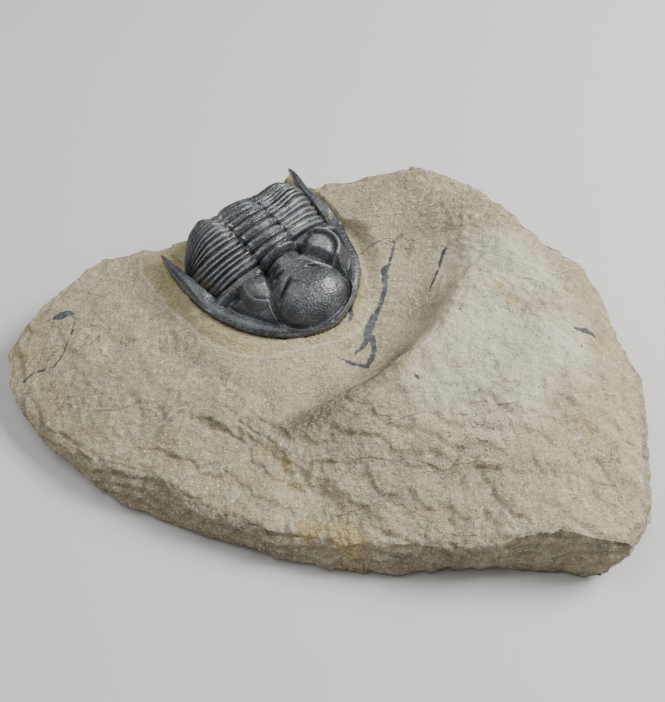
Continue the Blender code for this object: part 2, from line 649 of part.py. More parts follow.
def top_height(x, y):
    """Height of the block's upper face."""
    spots = SHOULDER + LEFT_LOBE + HOLLOW_FLOOR + RIGHT_BULGE
    height = thin_plate(spots, x, y)
    for line, drop, reach in LEDGES:
        height = height + ledge(line, drop, reach, x, y)
    for line, depth, width in VALLEYS:
        height = height + valley(line, depth, width, x, y)
    height = height + wall_step(x, y)
    flat = np.stack([np.ravel(x), np.ravel(y), 0 * np.ravel(x)], axis=1)
    for number, (scale, size) in enumerate(ROUGHNESS):
        height = height + size * rough(flat, scale, 3.7 * number).reshape(x.shape)
    bed, own_x, own_y = bed_height(x, y)
    edge = outer_margin()
    from_head = distance_to(np.concatenate([edge[::4], edge[::4] * (-1, 1)]), own_x, own_y)
    inside = np.abs(own_x) < np.interp(own_y, edge[::-1, 1], edge[::-1, 0], right=0)
    near = np.where(inside, 0, from_head)
    level = 2.2 + 3.3 * smoothstep(-8, 2, own_y)
    held = smoothstep(level, 1.0, near) * smoothstep(-16, -5, own_y)
    return height + (bed + 0.2 - height) * held


def block_solid(name, cells_x, cells_y, side_rows):
    """The block: a grid stretched over its top face, its sides and a flat base."""
    u = np.linspace(-1, 1, cells_x + 1)[:, None] + np.zeros((1, cells_y + 1))
    v = np.linspace(1, -1, cells_y + 1)[None, :] + np.zeros((cells_x + 1, 1))
    rim = [(i, 0) for i in range(cells_x)] + [(cells_x, j) for j in range(cells_y)]
    rim += [(i, cells_y) for i in range(cells_x, 0, -1)] + [(0, j) for j in range(cells_y, 0, -1)]
    perimeter = len(rim)
    shoulder = around(SHOULDER, perimeter)
    start = int(np.argmin(np.hypot(shoulder[:, 0] + 62, shoulder[:, 1] - 22)))
    shoulder = np.roll(shoulder, -start, axis=0)
    foot = np.roll(around(FOOT, perimeter), -start, axis=0)
    made = bmesh.new()
    grid = {}
    edge_at = {}
    for number, cell in enumerate(rim):
        edge_at[cell] = number
    places = np.zeros((cells_x + 1, cells_y + 1, 2))
    square = np.maximum(np.abs(u), np.abs(v))
    around_edge = np.arctan2(v, u)
    rim_turn = np.unwrap([-around_edge[c] for c in rim] + [-around_edge[rim[0]] + 2 * math.pi])
    closed = np.concatenate([shoulder, shoulder[:1]])
    turn = -around_edge
    turn = np.where(turn < rim_turn[0], turn + 2 * math.pi, turn)
    for i in range(2):
        at_edge = np.interp(turn, rim_turn, closed[:, i])
        places[..., i] = BLOCK_MIDDLE[i] + square * (at_edge - BLOCK_MIDDLE[i])
    heights = top_height(places[..., 0], places[..., 1])
    for i in range(cells_x + 1):
        for j in range(cells_y + 1):
            grid[i, j] = made.verts.new((places[i, j, 0], places[i, j, 1], heights[i, j]))
    for i in range(cells_x):
        for j in range(cells_y):
            made.faces.new((grid[i, j], grid[i, j + 1], grid[i + 1, j + 1], grid[i + 1, j]))
    ring = [grid[c] for c in rim]
    upper = np.array([v.co for v in ring])
    outward = foot[:, :2] - np.array(BLOCK_MIDDLE)
    outward = outward / np.linalg.norm(outward, axis=1)[:, None]
    for row in range(1, side_rows + 1):
        t = row / side_rows
        level = upper * (1 - t) + foot * t
        swell = 1.3 * math.sin(math.pi * t)
        push = swell + SIDE_ROUGHNESS * rough(level, 8.0, 1.3) * (t < 1)
        level[:, :2] += outward * push[:, None]
        below = [made.verts.new(p) for p in level]
        for k in range(perimeter):
            n = (k + 1) % perimeter
            made.faces.new((ring[k], below[k], below[n], ring[n]))
        ring = below
    base = foot.copy()
    base[:, :2] -= outward * (1.5 + 1.6 * foot[:, 2:])
    base[:, 2] = -BASE_CUT
    bottom = [made.verts.new(p) for p in base]
    for k in range(perimeter):
        n = (k + 1) % perimeter
        made.faces.new((ring[k], bottom[k], bottom[n], ring[n]))
    made.faces.new(bottom)
    bmesh.ops.recalc_face_normals(made, faces=made.faces)
    bmesh.ops.scale(made, vec=(MM, MM, MM), verts=made.verts)
    mesh = bpy.data.meshes.new(name)
    made.to_mesh(mesh)
    made.free()
    obj = bpy.data.objects.new(name, mesh)
    bpy.context.scene.collection.objects.link(obj)
    return obj


def thin_out(obj, ratio):
    """Fewer faces where the surface is smooth."""
    fewer = obj.modifiers.new("fewer faces", "DECIMATE")
    fewer.ratio = ratio


def combine(obj, other, operation):
    boolean = obj.modifiers.new(other.name, "BOOLEAN")
    boolean.operation = operation
    boolean.object = other
    boolean.solver = "EXACT"
    other.hide_render = True
    other.display_type = "WIRE"


def base_cutter(name):
    """A slab whose upper face leaves the block's base flat."""
    bpy.ops.mesh.primitive_cube_add(size=MM)
    slab = bpy.context.object
    slab.name = name
    slab.scale = (400, 400, 20)
    slab.location.z = -10 * MM
    return slab


def material(name, colour, roughness):
    made = bpy.data.materials.new(name)
    made.use_nodes = True
    made.diffuse_color = (*colour, 1)
    shader = made.node_tree.nodes["Principled BSDF"]
    shader.inputs["Base Color"].default_value = (*colour, 1)
    shader.inputs["Roughness"].default_value = roughness
    shader.inputs["Metallic"].default_value = 0.0
    return made


def clear_scene():
    for obj in list(bpy.data.objects):
        bpy.data.objects.remove(obj, do_unlink=True)


def main():
    clear_scene()
    block = block_solid("matrix", BLOCK_CELLS[0], BLOCK_CELLS[1], SIDE_ROWS)
    thin_out(block, BLOCK_FACES_KEPT)
    head_room = head_pocket("room for the head", 61)
    body_room = body_pocket("room for the body", 15, 25)
    combine(block, head_room, "DIFFERENCE")
    combine(block, body_room, "DIFFERENCE")
    combine(block, base_cutter("what lies below the base"), "DIFFERENCE")
    block.data.materials.append(material("limestone", LIMESTONE, 0.9))
    animal = head_solid("trilobite", HEAD_CELLS[0], HEAD_CELLS[1])
    thin_out(animal, HEAD_FACES_KEPT)
    body = body_solid("thorax and tail", BODY_COLUMNS, ROWS_IN_SEGMENT, TAIL_ROWS)
    combine(animal, body, "UNION")
    animal.data.materials.append(material("shell", SHELL, 0.38))
    for obj in (animal, body):
        obj.data.shade_smooth()
        obj.data.set_sharp_from_angle(angle=SHARP_FROM)
    for obj in (block, head_room, body_room, animal, body):
        obj.location = (-MIDDLE[0] * MM, -MIDDLE[1] * MM, 0)


if __name__ == "__main__":
    main()
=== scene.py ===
"""The looks of a Hollardops trilobite on its limestone slab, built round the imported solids."""

import math

import bmesh
import bpy
import numpy as np
from mathutils import Matrix, Vector, noise


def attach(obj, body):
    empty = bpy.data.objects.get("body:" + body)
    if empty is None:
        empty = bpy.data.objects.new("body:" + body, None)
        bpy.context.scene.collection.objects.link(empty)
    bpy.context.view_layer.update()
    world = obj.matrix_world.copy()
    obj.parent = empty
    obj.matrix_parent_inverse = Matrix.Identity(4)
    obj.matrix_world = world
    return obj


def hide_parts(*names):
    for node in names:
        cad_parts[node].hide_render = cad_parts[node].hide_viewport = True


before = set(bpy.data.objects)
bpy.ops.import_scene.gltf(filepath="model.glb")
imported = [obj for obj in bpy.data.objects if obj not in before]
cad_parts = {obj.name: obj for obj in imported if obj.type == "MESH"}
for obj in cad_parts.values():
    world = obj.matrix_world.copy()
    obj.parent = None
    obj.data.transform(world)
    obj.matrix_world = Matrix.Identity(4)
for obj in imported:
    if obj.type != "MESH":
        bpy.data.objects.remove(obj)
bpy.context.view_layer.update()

bl_info = {
    "name": "Trilobite on limestone",
    "version": (1, 0, 0),
    "blender": (4, 5, 0),
    "location": "3D View > Sidebar > Trilobite",
    "description": "Builds a Hollardops fossil, the slab it lies on and a plain studio",
    "category": "Object",
}

MM = 0.001
BODY = "root"

# The middle of the whole thing in the frame that the sizes below are given in, millimetres
MIDDLE = np.array((-2.967, -4.421, 0.0))

# Head shield
HEAD_LENGTH = 22.0
HEAD_HALF_WIDTH = 21.5
WIDEST_BEHIND_FRONT = 28.0
FRONT_POINTEDNESS = 1.15
SPINE_TIP = (19.6, -19.5)
SPINE_TIP_WIDTH = 0.5
CHEEK_CORNER = (17.3, -1.0)
EDGE_THICKNESS = 0.9
SPINE_EDGE_THICKNESS = 0.6 * EDGE_THICKNESS
UNDERSIDE = -0.5
BORDER_WIDTH = 3.2
FRONT_BORDER_WIDTH = 1.9
LIFTED_SPINE_RISE = 1.0
SIDE_PRESSED_IN = 1.6
# The glabella, the swollen middle of the head: y, half its width and its height on the midline
GLABELLA = (
    (1.6, 5.0, 7.0), (2.6, 4.8, 7.2), (3.8, 5.2, 7.35), (5.2, 6.0, 7.4), (7.5, 7.5, 7.4),
    (9.5, 8.6, 7.5), (11.5, 9.2, 7.55), (13.6, 9.35, 7.3), (15.4, 8.9, 6.6), (16.9, 8.1, 5.7),
    (18.2, 6.7, 4.6), (19.2, 5.0, 3.5), (20.0, 2.9, 2.4), (20.4, 0.6, 1.4),
)
GLABELLA_FOOT = 1.2
# The neck ring behind it: half its width, half its length and its height
NECK_RING = (5.8, 1.5, 8.5)
# Its side furrows: inner and outer end, then depth and half width
SIDE_FURROWS = (
    ((2.4, 8.6), (9.4, 12.1), 1.2, 0.4),
    ((2.6, 5.8), (6.9, 6.2), 1.1, 0.36),
    ((2.8, 3.9), (6.0, 3.8), 1.0, 0.34),
)
# A soft groove that curls forwards on the front lobe from the inner end of its right side furrow
LOBE_GROOVE = ((4.4, 9.4), (3.0, 8.9), (1.9, 9.2), (0.9, 10.3), (0.2, 12.2))
# The lobes between them: place, half sizes and swelling
SIDE_LOBES = (((6.0, 8.0), (2.6, 1.7), 0.6), ((4.8, 4.9), (1.5, 0.8), 0.5), ((4.4, 2.9), (1.2, 0.6), 0.5))
# The middle and relative size of its right eye, and of the left one, which is spread out a little
RIGHT_EYE = (8.0, 4.7, 1.0)
LEFT_EYE = (8.6, 5.6, 1.17)
# The eyes' width as a share of their length, and how far they are turned, in degrees
EYE_NARROWNESS = 0.95
EYE_TURN = 6
# The profiles of the right eye, which is domed, and of the left one, which is dished: from the
# eye's middle outwards, reach and height
DOMED_EYE = (
    (0.0, 7.3), (0.8, 7.3), (1.4, 7.15), (2.0, 6.8), (2.6, 6.2), (3.1, 5.5), (3.4, 5.05),
    (3.65, 5.0), (4.0, 4.9), (4.5, 4.5), (5.1, 3.8), (5.6, 3.0), (6.0, 2.0), (6.4, 1.1), (7.0, 0.0),
)
DISHED_EYE = (
    (0.0, 7.0), (1.0, 7.05), (1.8, 6.85), (2.4, 6.35), (2.8, 5.8), (3.1, 5.65), (3.35, 6.1), (3.65, 6.9),
    (3.9, 7.15), (4.2, 6.8), (4.6, 5.6), (5.0, 4.4), (5.5, 3.1), (6.0, 2.0), (6.5, 1.1), (7.0, 0.0),
)
# The slit under the lenses: its reach, the direction of its middle and half its turn, in degrees
EYE_SLIT = (3.45, 62, 44)
# The smooth dark cap of the right eye, behind its lenses
EYE_CAP = (7.3, 3.1)
# The lenses: from where to where they reach on the eye, where their arc starts and its turn in
# degrees, their spacing in radii, and the rings of each dome: height and width in radii
LENS_BAND = (1.6, 3.1)
LENS_ARC = (-70, 170)
LENS_ROWS = 4
LENS_SPACING = 2.1
LENS_SIDES = 8
LENS_RINGS = ((0.0, 1.0), (0.45, 0.9), (0.8, 0.6))

# Thorax and tail
SEGMENTS = 11
SEGMENT_PITCH = 2.7
THORAX_LENGTH = SEGMENTS * SEGMENT_PITCH
THORAX_HALF_WIDTH = 17.4
AXIS_HALF_WIDTH = 5.0
AXIS_HEIGHT = 8.8
PLEURA_HEIGHT = 6.7
THORAX_NARROWS = 0.8
TAIL_LENGTH = 11.5
BODY_LENGTH = THORAX_LENGTH + TAIL_LENGTH
TAIL_SPINES = 5
TAIL_RIBS = 8
BEND_STARTS = 9.5
BEND_RADIUS = 11.5
FIRST_SLOPE = math.radians(-3)
LAST_SLOPE = math.radians(95)
LEFT_FLANK_RAISED = 2.6
RIGHT_FLANK_RAISED = 2.2
BACK_FLATTENED = 0.9
RIGHT_FLANK_WIDER = 1.0

# How the animal lies on the slab
HEAD_FRONT = Vector((0.8, 2.0, 17.5))
HEADING = math.radians(220)
BED_SLOPE = math.radians(11)

# Fineness of the shell's and the slab's meshes
HEAD_CELLS = (660, 128)
BODY_CELLS = (230, 28, 80)
SLAB_CELLS = (330, 226)
SLAB_SIDE_ROWS = 18

# The edge of the slab's top face, going round clockwise from its left end: x, y and height
SHOULDER = (
    (-76, 3, 8), (-73, 10, 11), (-66, 18, 13), (-57, 27, 15), (-46, 28, 17), (-43, 27, 17.2),
    (-35, 28, 21), (-25, 32, 23), (-12.2, 43.3, 25.1), (-10.8, 46.3, 26), (-7, 41.9, 25),
    (-4.6, 39.8, 26.8), (-0.6, 40.4, 29), (3, 40, 31.1), (9, 40.2, 33.4), (19, 40, 34), (28, 37, 33),
    (40, 29, 31), (49, 21, 28), (58, 15, 25), (62, 5, 23), (65, -4, 20), (69, -12, 17),
    (69, -26, 15), (69, -34, 12), (67, -46, 10.5), (61, -54, 14), (54, -54, 16), (46, -52, 16.5),
    (34, -54, 14.5), (28, -54, 13), (20, -53, 11.5), (3, -51, 9.5), (-13, -48, 9.5),
    (-21, -45, 9.5), (-28, -42, 9.5), (-40, -34, 9.5), (-52, -30, 9), (-61, -23, 8),
    (-69, -15, 7.5), (-74, -6, 7.5),
)

# The lowest edge of its sides, going round the same way
FOOT = (
    (-77, 3, 5), (-74, 12, 4), (-67, 20, 3), (-58, 29, 2), (-47, 31, 1), (-37, 32, 0),
    (-28, 37, 0), (-13, 44, 0), (-1, 43, 0), (9, 43, 0), (19, 43, 0), (29, 40, 0), (41, 31, 0),
    (51, 23, 0), (60, 17, 0), (65, 6, 0), (68, -4, 0), (70, -12, 0), (69, -26, 1), (67, -36, 3),
    (65, -45, 6), (61, -52, 4), (57, -55, 1), (48, -53, 0), (36, -52, 0), (25, -52, 0),
    (14, -54, 0), (3, -53, 0), (-9, -51, 1), (-22, -47, 1), (-36, -41, 1), (-47, -36, 2),
    (-57, -29, 2), (-64, -23, 3), (-71, -15, 4), (-75, -8, 6),
)

# Heights inside the top face: the left lobe, the floor of the hollow and the bulge on the right
LEFT_LOBE = (
    (-56, 13, 14.5), (-54, -1, 13), (-53, -15, 11.5), (-67, 1, 10.5), (-62, -13, 9.5),
    (-43, 12, 16), (-42, -2, 14), (-41, -16, 12.5), (-40, -26, 11), (-29, -30, 12.8),
    (-26, -38, 10.5), (-16, -32, 12.5), (-13, -43, 11), (-3, -30, 14), (2, -44, 11.5),
)
HOLLOW_FLOOR = (
    (-42, 20, 19.5), (-35, 22, 20.5), (-30, -3, 15.5), (-30, -17, 14.2), (-17, -7, 16.2),
    (-16, -20, 14.8), (-3, -7, 16.5), (-4, -16.5, 15.2), (4, -11, 16.0), (9, -8.5, 16.7),
    (13, -4.5, 17.4), (17, -1, 18.2), (20, 4, 19.3), (13, 9, 19.2), (22.5, 10, 20.9), (17, 19, 22.8),
    (25, 19, 24.2), (16, 29, 27),
)
RIGHT_BULGE = (
    (11, -33, 17), (12, -43, 14), (16, 36, 31), (-1, -21.5, 17.3), (7, -19, 20.0),
    (15.5, -13.5, 22.6), (20.7, -9.5, 24.2), (24, -5, 25.3), (26.5, 0, 26.2), (29, 7, 27.2),
    (11, -27, 18.6), (21, -22, 21.8), (29, -12, 25.2), (33, -2, 27.0), (25, -32, 19.5),
    (24, -44, 15),
    (34, 16, 28.5), (28, 27, 30.5), (39, 21, 30),
    (44, 1, 28), (43, -15, 26), (42, -29, 23.5), (41, -42, 19), (58, -5, 24.5), (55, -23, 22.5),
    (54, -37, 19.5), (65, -21, 19), (63, -37, 16), (54, 8, 26.5),
)

# Steps where a flake has come away: the line, the drop on its right going along it, and how far
# from the line the drop reaches
LEDGES = (
    (((-34, -18), (-23.5, -24), (-18, -27.5), (-12, -31), (-7, -35.5), (-2, -40), (5, -46)), 1.4, 7),
    (((-50, -31), (-40, -26), (-34.4, -19)), -0.9, 5),
    (((-55, -1), (-47, -11), (-41, -18), (-33, -23)), 0.7, 5),
    (((25, -44), (33, -38), (40, -40), (47, -36)), 0.8, 4),
    (((8, -38), (16, -33), (24, -35), (31, -30)), 0.7, 4),
    (((33, 24), (46, 12), (52, 5), (53.5, -6)), -0.8, 4),
)

# Soft valleys: the line, then how deep and how wide
VALLEYS = (
    (((-45.4, 9), (-38.8, -1), (-33, -7), (-24.6, -13.5), (-15, -16.8), (-4, -19)), 0.8, 3.2),
    (((-58, 8), (-51, -2), (-44, -9), (-37, -13)), 0.6, 2.6),
    (((-46, 16), (-40, 8), (-36, 2)), 0.5, 2.4),
    (((-30, -26), (-22, -30), (-14, -37)), 0.5, 2.5),
    (((17, -30), (27, -27), (36, -20)), 0.5, 3.0),
)

# The steep wall on the right of the hollow, along the middle of its slope
HOLLOW_WALL = (
    (-12, -21), (-3.5, -19.8), (3.2, -17.6), (9, -14.6), (14, -11), (18.2, -7), (21.5, -2.6),
    (23.8, 1.8), (25.4, 6.5), (27, 12),
)
WALL_RISE = 2.7
WALL_HALF_WIDTH = 1.7
WALL_REACH = 8.0

# The edge of the ground that was smoothed round the fossil
SMOOTHED = (
    (-46, 23), (-43, 12), (-37, 3), (-29, -7), (-18, -14), (-6, -18), (5, -14), (13, -6.5),
    (19, 0), (23.5, 8), (26, 18), (26, 30), (12, 44), (-14, 48), (-40, 34),
)
SLAB_CENTRE = (0, -8)
# Where the grid of its top face has its back left corner
BACK_LEFT_CORNER = (-62, 22)
# How far its sides bulge, and how far the base lies in from their lower edge: at the least, and
# for each millimetre that the edge is off the ground
SIDE_BULGE = 1.3
BASE_INSET = (1.5, 1.6)

# Dark calcite veins on the slab's top: places along each, with half the width there
VEINS = (
    ((11.1, 23.2, 0.12), (15.0, 23.0, 0.25), (14.3, 20.8, 0.3), (13.4, 17.6, 0.35),
     (12.3, 15.9, 0.85), (12.5, 12.1, 0.6), (11.1, 7.4, 0.5), (9.6, 4.2, 0.55)),
    ((9.6, 5.4, 0.4), (9.0, 3.5, 0.95), (8.2, 1.3, 1.15), (8.5, -0.1, 1.0)),
    ((8.3, 0.2, 0.9), (7.4, -1.4, 0.55), (6.2, -3.0, 0.45), (4.9, -4.3, 0.1)),
    ((9.0, 0.2, 0.9), (9.5, -1.8, 0.5), (9.6, -3.6, 0.6), (8.9, -5.8, 0.6), (7.7, -7.8, 0.6),
     (5.6, -7.3, 0.35), (3.4, -6.4, 0.4), (0.7, -5.2, 0.12)),
    ((27.4, 20.6, 0.15), (26.3, 19.2, 0.3), (25.8, 18.0, 0.3), (25.2, 15.7, 0.22),
     (24.1, 13.1, 0.25), (22.2, 9.4, 0.1)),
    ((4.1, 7.5, 0.2), (4.5, 4.9, 0.5), (3.8, 2.9, 0.2)),
    ((16.7, -17.1, 0.15), (17.9, -17.7, 0.3), (18.9, -18.9, 0.15)),
    ((53.8, -5.8, 0.3), (56.1, -5.9, 0.6), (57.4, -6.1, 0.5), (58.8, -6.6, 0.15)),
    ((-66.6, 9.4, 0.6), (-65.2, 9.9, 0.95), (-63.4, 10.5, 0.7), (-62.2, 10.0, 0.35)),
    ((-62.3, 9.9, 0.3), (-61.3, 8.1, 0.22), (-62.1, 3.5, 0.25), (-63.1, -1.0, 0.2),
     (-65.0, -4.4, 0.2), (-69.7, -4.5, 0.3), (-72.4, -6.8, 0.2)),
)

# Pale calcite threads, the same way
THREADS = (
    ((0.6, 30.6, 0.08), (7.9, 29.9, 0.1), (14.4, 29.8, 0.14), (20.9, 29.8, 0.16), (29.5, 30.6, 0.1)),
    ((21.0, 30.4, 0.14), (22.2, 33.9, 0.12), (25.0, 37.2, 0.1)),
    ((14.6, 5.7, 0.05), (21.0, 13.5, 0.08), (27.8, 21.9, 0.1), (32.6, 26.5, 0.08)),
    ((-40.4, -26.3, 0.1), (-38.5, -22.1, 0.12), (-34.2, -18.6, 0.14), (-31.5, -18.3, 0.1)),
)

# Rusty stains: place and radius
STAINS = (
    (-10.8, -34.0, 4.5), (-14.5, -30.5, 3.5), (-8.0, -37.5, 3.0), (4.0, -49.0, 5.0),
    (-5.0, -47.0, 4.0), (38.0, 4.0, 2.5), (40.5, 1.5, 2.0), (60.0, -8.0, 3.5), (54.0, -30.0, 4.0),
)
TAN_RIM = (
    (-72, 0, 9.0), (-66, -14, 8.0), (-70, 8, 6.0), (58, 8, 8.0), (61, -2, 5.0), (-56, -24, 8.0),
    (-38, -29, 9.0), (-20, -38, 9.0), (2, -47, 8.0), (20, -46, 5.0),
)
BROWN_PATCHES = (
    (60.0, -5.0, 3.6), (57.5, -9.0, 2.6), (55.0, -28.0, 3.2), (57.0, -35.0, 3.6), (15.0, -37.0, 2.2),
    (24.0, -39.5, 3.0), (28.0, -50.0, 2.6), (-58.0, 12.7, 2.2), (40.0, 3.0, 1.8), (-36.8, 8.1, 1.4),
)

# Where light is painted into the stone's colour, making it paler over the bulge that faces the light; and
# where shade is painted in, making it greyer and darker in and below the hollow, along its wall and towards
# the left
PAINTED_LIGHT_SPOTS = (
    (30.0, -6.0, 17.0), (36.0, -20.0, 16.0), (22.0, -20.0, 9.0), (34.0, 12.0, 13.0), (48.0, -10.0, 12.0),
    (45.0, 6.0, 9.0),
)
PAINTED_SHADE_SPOTS = (
    (0.0, -17.0, 7.0), (10.0, -11.0, 6.5), (-10.0, -19.5, 7.0), (17.0, -4.0, 5.0), (22.0, 4.0, 4.5),
    (4.0, -30.0, 10.0), (14.0, -38.0, 10.0), (-20.0, -30.0, 10.0), (-38.0, -22.0, 10.0),
    (-54.0, -12.0, 11.0), (-24.0, -18.0, 6.0),
)

# The outer edge of the tan ring round the fossil
HALO = (
    (-46.5, 26), (-45.5, 19), (-41.1, 13.2), (-35.8, 6.5), (-30.8, 1.6), (-27.1, -1.6), (-21.8, -4.8),
    (-15.4, -6), (-10.3, -4.6), (-4.6, -3), (0.6, -1.1), (4, 0.5), (6.7, 2.8), (8.2, 7), (8, 11.6),
    (6.8, 17.1), (3.6, 24), (0.5, 31), (-2.5, 38), (-6, 50), (-30, 50),
)

# The upper edges of the dark broken faces along the slab's front
FRONT_LEFT_EDGE = (
    (-70, -22), (-62, -27), (-54.4, -30.8), (-47.2, -31.2), (-40, -33.1), (-34.5, -35.3),
    (-29.8, -39.6), (-26.5, -41.7), (-18.9, -45.2), (-13.2, -46.5), (-8.3, -49.1), (-3.2, -54.6),
)
FRONT_RIGHT_EDGE = (
    (20, -54), (23.3, -50), (29.1, -52.7), (32.9, -54.8), (39.3, -55.8), (43, -53.9), (51.1, -53.3),
    (55.3, -55.9), (60, -57.9),
)

# How far the slab's bed keeps off the animal's underside
CLEARANCE = 0.12

FLOOR_SIZE = 3.0
FLOOR_TINT = 0.94
# The soft lights: name, size in metres and place
LIGHTS = (
    ("key", 0.32, (0.5, 0.1, 0.46)), ("back", 0.9, (-0.35, 0.1, 1.0)), ("fill", 0.9, (-0.75, -0.5, 0.8)),
)
SKY_COLOUR = (0.9, 0.95, 1.0)
SKY_STRENGTH = 0.2

CAMERA_LENS = 60.0
CAMERA_DISTANCE = 275.0
CAMERA_LOOKS_AT = (0.0, 0.0, 11.0)
CAMERA_ELEVATION = math.radians(50)


def smoothstep(low, high, value):
    t = np.clip((value - low) / (high - low), 0.0, 1.0)
    return t * t * (3 - 2 * t)


def soft_max(a, b, width):
    """The larger of two heights, with the crease between them rounded over width."""
    blend = np.clip(0.5 + 0.5 * (a - b) / width, 0.0, 1.0)
    return b + (a - b) * blend + width * blend * (1 - blend)


def soft_min(a, b, width):
    return -soft_max(-a, -b, width)


def bell(distance, width):
    return np.exp(-((distance / width) ** 2))


def dome(radius_squared, sharpness=0.5):
    """1 in the middle and 0 where radius_squared reaches 1."""
    return np.clip(1 - radius_squared, 0.0, 1.0) ** sharpness


def along(points, fractions):
    """Places on a polyline at these shares of its length."""
    steps = np.linalg.norm(np.diff(points, axis=0), axis=1)
    reach = np.concatenate([[0.0], np.cumsum(steps)])
    where = np.asarray(fractions) * reach[-1]
    return np.stack([np.interp(where, reach, points[:, i]) for i in range(2)], axis=-1)


def distance_to(line, x, y, widths=None):
    """How far each place is from a polyline, or from its edge where it has half widths."""
    nearest = np.full(x.shape, 1e9)
    for k, ((ax, ay), (bx, by)) in enumerate(zip(line, line[1:])):
        run_x, run_y = bx - ax, by - ay
        t = np.clip(((x - ax) * run_x + (y - ay) * run_y) / (run_x**2 + run_y**2), 0, 1)
        away = np.hypot(x - ax - t * run_x, y - ay - t * run_y)
        if widths is not None:
            away = away - widths[k] - (widths[k + 1] - widths[k]) * t
        nearest = np.minimum(nearest, away)
    return nearest


def values_at(points, function):
    """One number for each point, from a function of a place."""
    return np.array([function(Vector(p)) for p in points.reshape(-1, 3)]).reshape(points.shape[:-1])


def cloudy(points, scale, octaves=4, roughness=0.5, shift=0.0):
    """Soft random values of about -1 to 1 at each point."""
    offset = Vector((shift, 1.7 * shift, -0.6 * shift))
    return values_at(points, lambda p: noise.fractal(p / scale + offset, 1.5 - roughness, 2.0, octaves))


def outer_margin(samples=160):
    """The right half of the head's edge, from the middle of its front to the cheek spine's tip."""
    turn = np.linspace(0, math.pi / 2, samples)
    front = np.stack(
        [
            HEAD_HALF_WIDTH * np.sin(turn) ** FRONT_POINTEDNESS,
            HEAD_LENGTH - WIDEST_BEHIND_FRONT * (1 - np.cos(turn)),
        ],
        axis=1,
    )
    widest_y = HEAD_LENGTH - WIDEST_BEHIND_FRONT
    t = np.linspace(0, 1, samples // 2)[1:]
    tip_x, tip_y = SPINE_TIP[0] + SPINE_TIP_WIDTH / 2, SPINE_TIP[1]
    spine = np.stack(
        [HEAD_HALF_WIDTH + (tip_x - HEAD_HALF_WIDTH) * t**2, widest_y + (tip_y - widest_y) * t],
        axis=1,
    )
    return np.concatenate([front, spine])


def inner_margin(samples=80):
    """The right half of the head's back edge, from the middle to the cheek spine's tip."""
    corner_x, corner_y = CHEEK_CORNER
    t = np.linspace(0, 1, samples)
    back = np.stack([corner_x * t, corner_y * t**4], axis=1)
    tip_x = SPINE_TIP[0] - SPINE_TIP_WIDTH / 2
    spine = np.stack(
        [corner_x + (tip_x - corner_x) * t**1.5, corner_y + (SPINE_TIP[1] - corner_y) * t], axis=1
    )[1:]
    return np.concatenate([back, spine])


def head_grid(columns, rows):
    """Places over the head, from the back edge to the front one, in columns from spine to spine."""
    share = np.linspace(-1, 1, columns)
    side = np.where(share < 0, -1.0, 1.0)[:, None]
    reach = np.abs(share)
    inner = along(inner_margin(), reach)
    outer = along(outer_margin(), np.interp(reach, [0, 0.47, 0.61, 1], [0, 0.6, 0.73, 1]))
    across = np.linspace(0, 1, rows)
    places = inner[:, None, :] * (1 - across)[None, :, None] + outer[:, None, :] * across[None, :, None]
    x = places[..., 0] * side
    return x, places[..., 1], np.broadcast_to(across, x.shape), reach[:, None] + 0 * x


def smooth_curve(points, at, column=1, spread=0.5):
    """One of the values of a table of points, read between them with its corners rounded."""
    table = np.array(points, dtype=float)
    reads = [np.interp(at + k * spread / 2, table[:, 0], table[:, column]) for k in range(-2, 3)]
    return sum(reads) / len(reads)


def glabella_height(x, y):
    """The swollen middle of the head: the front lobe, the lobes behind it and the neck ring."""
    a = np.abs(x)
    width = smooth_curve(GLABELLA, y)
    top = smooth_curve(GLABELLA, y, 2)
    rise = np.clip(1 - (a / width) ** 2.5, 0, 1) ** 0.55
    height = GLABELLA_FOOT + (top - GLABELLA_FOOT) * rise
    for (centre_x, centre_y), (half_x, half_y), swelling in SIDE_LOBES:
        away = ((a - centre_x) / half_x) ** 2 + ((y - centre_y) / half_y) ** 2
        height = height + swelling * np.exp(-away)
    for (inner_x, inner_y), (outer_x, outer_y), depth, half in SIDE_FURROWS:
        t = np.clip((a - inner_x) / (outer_x - inner_x), 0, 1)
        line = inner_y + (outer_y - inner_y) * t**1.2
        slot = bell(y - line, half * (0.7 + 0.5 * t)) * smoothstep(inner_x - 0.9, inner_x + 1.6, a)
        height = height - depth * slot * smoothstep(0.0, 0.3, height - GLABELLA_FOOT)
    height = height - 0.32 * bell(distance_to(LOBE_GROOVE, x, y), 0.7)
    height = height - 9 * smoothstep(2.5, 1.5, y) - 9 * smoothstep(20.4, 20.9, y)
    return soft_max(height, neck_ring(a, y), 0.25)


def neck_ring(a, y):
    half_width, half_length, rise = NECK_RING
    ring = rise * dome((a / half_width) ** 2, 0.3) * dome(((y - 0.6) / half_length) ** 2, 0.3)
    nodes = 0.4 * bell(a, 0.6) * bell(y - 0.3, 0.55) + 0.45 * bell(a - 4.3, 0.8) * bell(y - 0.9, 0.8)
    return ring + nodes * (ring > 6)


def eye_reach(x, y):
    """Distance from the middle of an eye, and the direction from it in degrees, 0 outwards."""
    centre_x, centre_y, size = (np.where(x > 0, a, b) for a, b in zip(RIGHT_EYE, LEFT_EYE))
    away_x, away_y = np.abs(x) - centre_x, y - centre_y
    turn = np.degrees(np.arctan2(away_y, away_x)) + EYE_TURN
    return np.hypot(away_x, EYE_NARROWNESS * away_y) / size, turn


